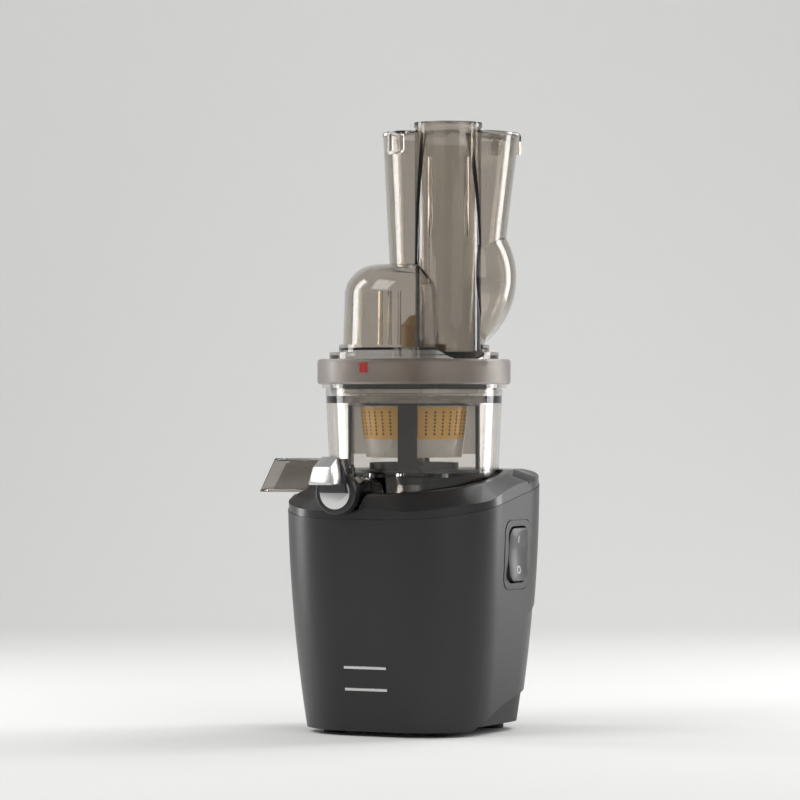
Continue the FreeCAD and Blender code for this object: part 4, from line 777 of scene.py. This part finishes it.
@dataclass
class PowerSwitch:
    """Rocker, its frame and the switch behind it, sizes in millimetres."""

    edge: float = 0.8
    middle: float = 3.0
    level: float = 141.0
    face: float = 89.6
    slope: float = 0.1148
    mark_offset: float = 12.0
    bar_width: float = 1.1
    bar_height: float = 5.6
    ring_radius: float = 2.7
    ring_width: float = 0.5
    mark_depth: float = 0.12

    def dress(self, shop: Workshop) -> None:
        """Finishes the switch and prints its two marks.

        Args:
            shop: Makes the finished pieces.
        """
        shop.paint("housing_black", ["switch_bezel"])
        shop.soften("rocker_button", Body.ROCKER, "rocker_black", self.edge)
        shop.paint("fastener_steel", ["rocker_pin"])
        shop.paint("case_plastic", ["switch_block"])
        shop.solid("rocker_bar_mark", self.bar_mark(), Body.ROCKER, "mark_white")
        shop.solid("rocker_ring_mark", self.ring_mark(), Body.ROCKER, "mark_white")

    def on_face(self, side: int) -> Matrix:
        """The place of a mark on the rocker's dished face.

        Args:
            side: 1 for its upper half, -1 for its lower half.

        Returns:
            The place, with its X straight out of the face.
        """
        reach = self.face + self.mark_offset * self.slope
        spot = Vector((reach, self.middle, self.level + side * self.mark_offset)) * MM
        return Matrix.Translation(spot) @ Matrix.Rotation(side * math.atan(self.slope), 4, "Y")

    def bar_mark(self) -> bmesh.types.BMesh:
        """A short upright bar on the upper half.

        Returns:
            The bar as an edit mesh in metres.
        """
        work = bmesh.new()
        stretch = Matrix.Diagonal((self.mark_depth * MM, self.bar_width * MM, self.bar_height * MM, 1.0))
        bmesh.ops.create_cube(work, size=1.0, matrix=self.on_face(1) @ stretch)
        return work

    def ring_mark(self) -> bmesh.types.BMesh:
        """A flat ring on the lower half.

        Returns:
            The ring as an edit mesh in metres.
        """
        half = self.mark_depth / 2
        near, far = self.ring_radius - self.ring_width, self.ring_radius + self.ring_width
        upright = Matrix.Rotation(math.pi / 2, 4, "Y")
        return turned(rectangle(near, far, -half, half), self.on_face(-1) @ upright)


@dataclass
class JuicingBowl:
    """Clear bowl, collar, lock mark and pulp chute, sizes in millimetres."""

    edge: float = 0.5
    sleeve_inner: float = 9.4
    sleeve_outer: float = 10.8
    sleeve_low: float = 190.5
    sleeve_high: float = 195.8

    def dress(self, shop: Workshop) -> None:
        """Finishes the bowl and adds the steel sleeve in its hub.

        Args:
            shop: Makes the finished pieces.
        """
        shop.paint("bowl_clear", ["juicing_bowl"])
        shop.soften("pulp_chute", Body.BOWL, "chute_clear", self.edge)
        shop.soften("locking_collar", Body.BOWL, "frosted_clear", self.edge)
        sleeve = rectangle(self.sleeve_inner, self.sleeve_outer, self.sleeve_low, self.sleeve_high)
        shop.solid("hub_sleeve", turned(sleeve), Body.BOWL, "fastener_steel")
        shop.paint("mark_red", ["lock_mark"])
        shop.paint("seal_rubber", ["hub_seal"])
        shop.paint("fastener_steel", ["cap_hinge_pin", "idler_pin"])


@dataclass
class JuiceCap:
    """Hinged cap on the juice spout, sizes in millimetres."""

    edge: float = 0.7

    def dress(self, shop: Workshop) -> None:
        """Finishes the cap.

        Args:
            shop: Makes the finished pieces.
        """
        shop.soften("juice_cap", Body.CAP, "cap_black", self.edge)
        shop.soften("cap_face_disc", Body.CAP, "silver_trim", self.edge / 2)
        shop.soften("cap_tab", Body.CAP, "silver_trim", self.edge)
        shop.paint("seal_rubber", ["cap_seal"])


@dataclass(frozen=True)
class SievePattern:
    """Small blocks set in rows on every slot of the cone-shaped sieve band, sizes in millimetres."""

    name: str
    finish: str
    rows: int
    low_level: float
    high_level: float
    low_radius: float
    high_radius: float
    size: tuple[float, float, float]
    columns: int = 36

    def build(self, material: bpy.types.Material) -> bpy.types.Object:
        """Sets the blocks out as instances on points of the band.

        Args:
            material: Their material.

        Returns:
            All blocks as one mesh object.
        """
        tree = GeometryTree(self.name)
        columns = tree.size("Columns", self.columns, True)
        rows = tree.size("Rows", self.rows, True)
        low_level = tree.size("Low Level", self.low_level * MM)
        high_level = tree.size("High Level", self.high_level * MM)
        low_radius = tree.size("Low Radius", self.low_radius * MM)
        high_radius = tree.size("High Radius", self.high_radius * MM)
        index = tree.node("GeometryNodeInputIndex")
        angle = (index % columns) / columns * FULL_TURN
        share = (index / columns).floor() / (rows - 1.0)
        radius = low_radius + (high_radius - low_radius) * share
        level = low_level + (high_level - low_level) * share
        corner = {"X": radius * angle.cosine(), "Y": radius * angle.sine(), "Z": level}
        spot = tree.node("ShaderNodeCombineXYZ", None, corner)
        points = tree.node("GeometryNodePoints", None, {"Count": columns * rows, "Position": spot})
        block = tree.node("GeometryNodeMeshCube", None, {"Size": tuple(side * MM for side in self.size)})
        turn = tree.node("ShaderNodeCombineXYZ", None, {"Z": angle})
        set_out = {"Points": points, "Instance": block, "Rotation": turn}
        return tree.mesh(tree.node("GeometryNodeInstanceOnPoints", None, set_out), material, self.name)


@dataclass
class Strainer:
    """Strainer cup with its amber sieve band, whose slots are parted into short dashes of painted shade."""

    bridges: SievePattern = SievePattern(
        "sieve_bridges", "amber_resin", rows=6, low_level=237.3, high_level=251.2,
        low_radius=39.7, high_radius=41.33, size=(1.5, 1.5, 1.1))
    # Dark blocks in the slots, painted shade where the slots show the dark inside of the cup.
    dashes: SievePattern = SievePattern(
        "sieve_slot_shade", "slot_painted_shade", rows=7, low_level=235.9, high_level=252.6,
        low_radius=40.1, high_radius=42.06, size=(0.4, 1.5, 1.7))

    def dress(self, shop: Workshop) -> None:
        """Finishes the strainer and parts its slots into dashes of painted shade.

        Args:
            shop: Makes the finished pieces.
        """
        shop.paint("strainer_clear", ["strainer_frame"])
        shop.paint("amber_resin", ["strainer_mesh"])
        for pattern in (self.bridges, self.dashes):
            blocks = pattern.build(shop.palette[pattern.finish])
            shop.settle(blocks, Body.BOWL, pattern.finish, smooth=False)


@dataclass
class AugerSet:
    """Auger, its gears and the wiper round the strainer."""

    def dress(self, shop: Workshop) -> None:
        """Finishes the auger and wiper.

        Args:
            shop: Makes the finished pieces.
        """
        shop.paint("auger_resin", ["auger", "auger_gear"])
        shop.paint("gear_plastic", ["idler_gear"])
        shop.paint("wiper_resin", ["wiper_frame"])
        shop.paint("blade_silicone", ["wiper_blades"])


@dataclass
class Lid:
    """Clear hopper with its feed tube and chute lid, sizes in millimetres."""

    edge: float = 0.5
    tube_edge: float = 0.2

    def dress(self, shop: Workshop) -> None:
        """Finishes the lid.

        Args:
            shop: Makes the finished pieces.
        """
        shop.paint("hopper_clear", ["hopper"])
        shop.soften("feed_tube", Body.LID, "hopper_clear", self.tube_edge)
        shop.soften("chute_lid", Body.FLAP, "hopper_clear", self.edge)
        shop.paint("seal_rubber", ["lid_gasket"])
        shop.paint("fastener_steel", ["chute_hinge_pin"])


@dataclass
class Backdrop:
    """One sheet for the floor and the wall behind, with a wide bend between them, sizes in metres."""

    azimuth: float
    bend: float = 0.8
    bend_steps: int = 24
    reach: float = 2.2
    height: float = 3.2
    side: float = 9.0
    colour: Colour = (0.80, 0.80, 0.79)
    roughness: float = 0.8

    def build(self) -> None:
        """Sets the sheet up as part of the stage."""
        mesh = self.mesh()
        mesh.materials.append(self.paper())
        placed("backdrop", mesh)

    def profile(self) -> list[tuple[float, float]]:
        """The sheet seen from its side.

        Returns:
            Its points, as distance behind the juicer and height.
        """
        start = self.reach - self.bend
        points = [(-self.side, 0.0), (start, 0.0)]
        for step in range(1, self.bend_steps + 1):
            angle = FULL_TURN / 4 * step / self.bend_steps
            level = self.bend - self.bend * math.cos(angle)
            points.append((start + self.bend * math.sin(angle), level))
        points.append((self.reach, self.height))
        return points

    def mesh(self) -> bpy.types.Mesh:
        """The sheet, turned to face the camera.

        Returns:
            The mesh.
        """
        turn = math.radians(self.azimuth)
        work = bmesh.new()
        rows = []
        for along, level in self.profile():
            row = []
            for across in (-self.side, self.side):
                x = across * math.cos(turn) - along * math.sin(turn)
                y = across * math.sin(turn) + along * math.cos(turn)
                row.append(work.verts.new((x, y, level)))
            rows.append(row)
        for low, high in zip(rows, rows[1:]):
            work.faces.new((low[0], low[1], high[1], high[0]))
        mesh = bpy.data.meshes.new("backdrop")
        work.to_mesh(mesh)
        work.free()
        mesh.shade_smooth()
        return mesh

    def paper(self) -> bpy.types.Material:
        """Pale paper that is clear where its back is seen.

        Returns:
            The material.
        """
        surface = SurfaceTree("backdrop_paper")
        surface.shade(Base_Color=(*self.colour, 1.0), Roughness=self.roughness)
        behind = surface.node("ShaderNodeNewGeometry", output="Backfacing")
        clear = surface.node("ShaderNodeBsdfTransparent")
        seen = surface.node("ShaderNodeMixShader", None, {0: behind, 1: surface.lit, 2: clear})
        surface.feed(surface.output.inputs["Surface"], seen)
        return surface.material


@dataclass(frozen=True)
class Lamp:
    """A soft light that faces the juicer, in metres and watts."""

    name: str
    place: Point
    size: tuple[float, float]
    power: float
    target: Point = (0.0, 0.0, 0.25)

    def build(self) -> None:
        """Hangs the light."""
        light = bpy.data.lights.new(self.name, "AREA")
        light.shape = "RECTANGLE"
        light.size, light.size_y = self.size
        light.energy = self.power
        lamp = placed(self.name, light)
        lamp.location = self.place
        aim = Vector(self.target) - Vector(self.place)
        lamp.rotation_euler = aim.to_track_quat("-Z", "Y").to_euler()


@dataclass
class Viewpoint:
    """A level camera on the photograph's bearing, in metres, with its sensor in millimetres."""

    azimuth: float
    distance: float = 3.2
    frame_width: float = 0.6376
    aim_across: float = -0.0112
    aim_level: float = 0.2626
    sensor_width: float = 36.0
    clip_end: float = 20.0

    def build(self) -> None:
        """Sets the camera up and makes it the scene's own."""
        lens = bpy.data.cameras.new("camera")
        lens.sensor_width = self.sensor_width
        lens.lens = self.sensor_width * self.distance / self.frame_width
        lens.clip_end = self.clip_end
        turn = math.radians(self.azimuth)
        right = Vector((math.cos(turn), math.sin(turn), 0.0))
        back = Vector((math.sin(turn), -math.cos(turn), 0.0))
        aim = right * self.aim_across + Vector((0.0, 0.0, self.aim_level))
        holder = placed("camera", lens)
        holder.location = aim + back * self.distance
        holder.rotation_euler = (-back).to_track_quat("-Z", "Y").to_euler()
        bpy.context.scene.camera = holder


@dataclass
class Studio:
    """Pale floor with a curved backdrop, soft lights and the camera."""

    azimuth: float = 27.0
    lamps: tuple[Lamp, ...] = (
        Lamp("key_light", place=(-1.1, -1.5, 1.7), size=(1.3, 1.3), power=20.0),
        Lamp("fill_light", place=(1.8, -0.9, 1.1), size=(1.6, 1.6), power=10.0),
        Lamp("rim_light", place=(0.6, 1.2, 1.6), size=(1.2, 1.2), power=15.0),
        Lamp("left_strip", place=(-1.15, -0.1, 0.55), size=(0.3, 1.1), power=6.0),
        Lamp("right_strip", place=(0.75, 0.95, 0.55), size=(0.3, 1.1), power=6.0),
    )
    surround: Colour = (0.9, 0.9, 0.9)
    surround_strength: float = 0.45

    def build(self) -> None:
        """Builds the stage, the lights and the camera."""
        Backdrop(self.azimuth).build()
        for lamp in self.lamps:
            lamp.build()
        self.world()
        Viewpoint(self.azimuth).build()

    def world(self) -> None:
        """An even pale surround."""
        world = bpy.data.worlds.new("studio")
        world.use_nodes = True
        shade = world.node_tree.nodes["Background"]
        shade.inputs["Color"].default_value = (*self.surround, 1.0)
        shade.inputs["Strength"].default_value = self.surround_strength
        bpy.context.scene.world = world


def main() -> None:
    """Builds and dresses each sub-assembly in turn."""
    logging.basicConfig(level=logging.INFO, format="%(name)s: %(message)s")
    bpy.ops.wm.read_factory_settings(use_empty=True)
    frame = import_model()
    shop = Workshop(frame, Palette())
    assemblies = [MotorBase(), PowerSwitch(), JuicingBowl(), JuiceCap(), Strainer(), AugerSet(), Lid()]
    for assembly in assemblies:
        assembly.dress(shop)
        log.info("dressed %s", type(assembly).__name__)
    Studio().build()
    bpy.context.scene.view_settings.view_transform = "Standard"


if __name__ == "__main__":
    main()
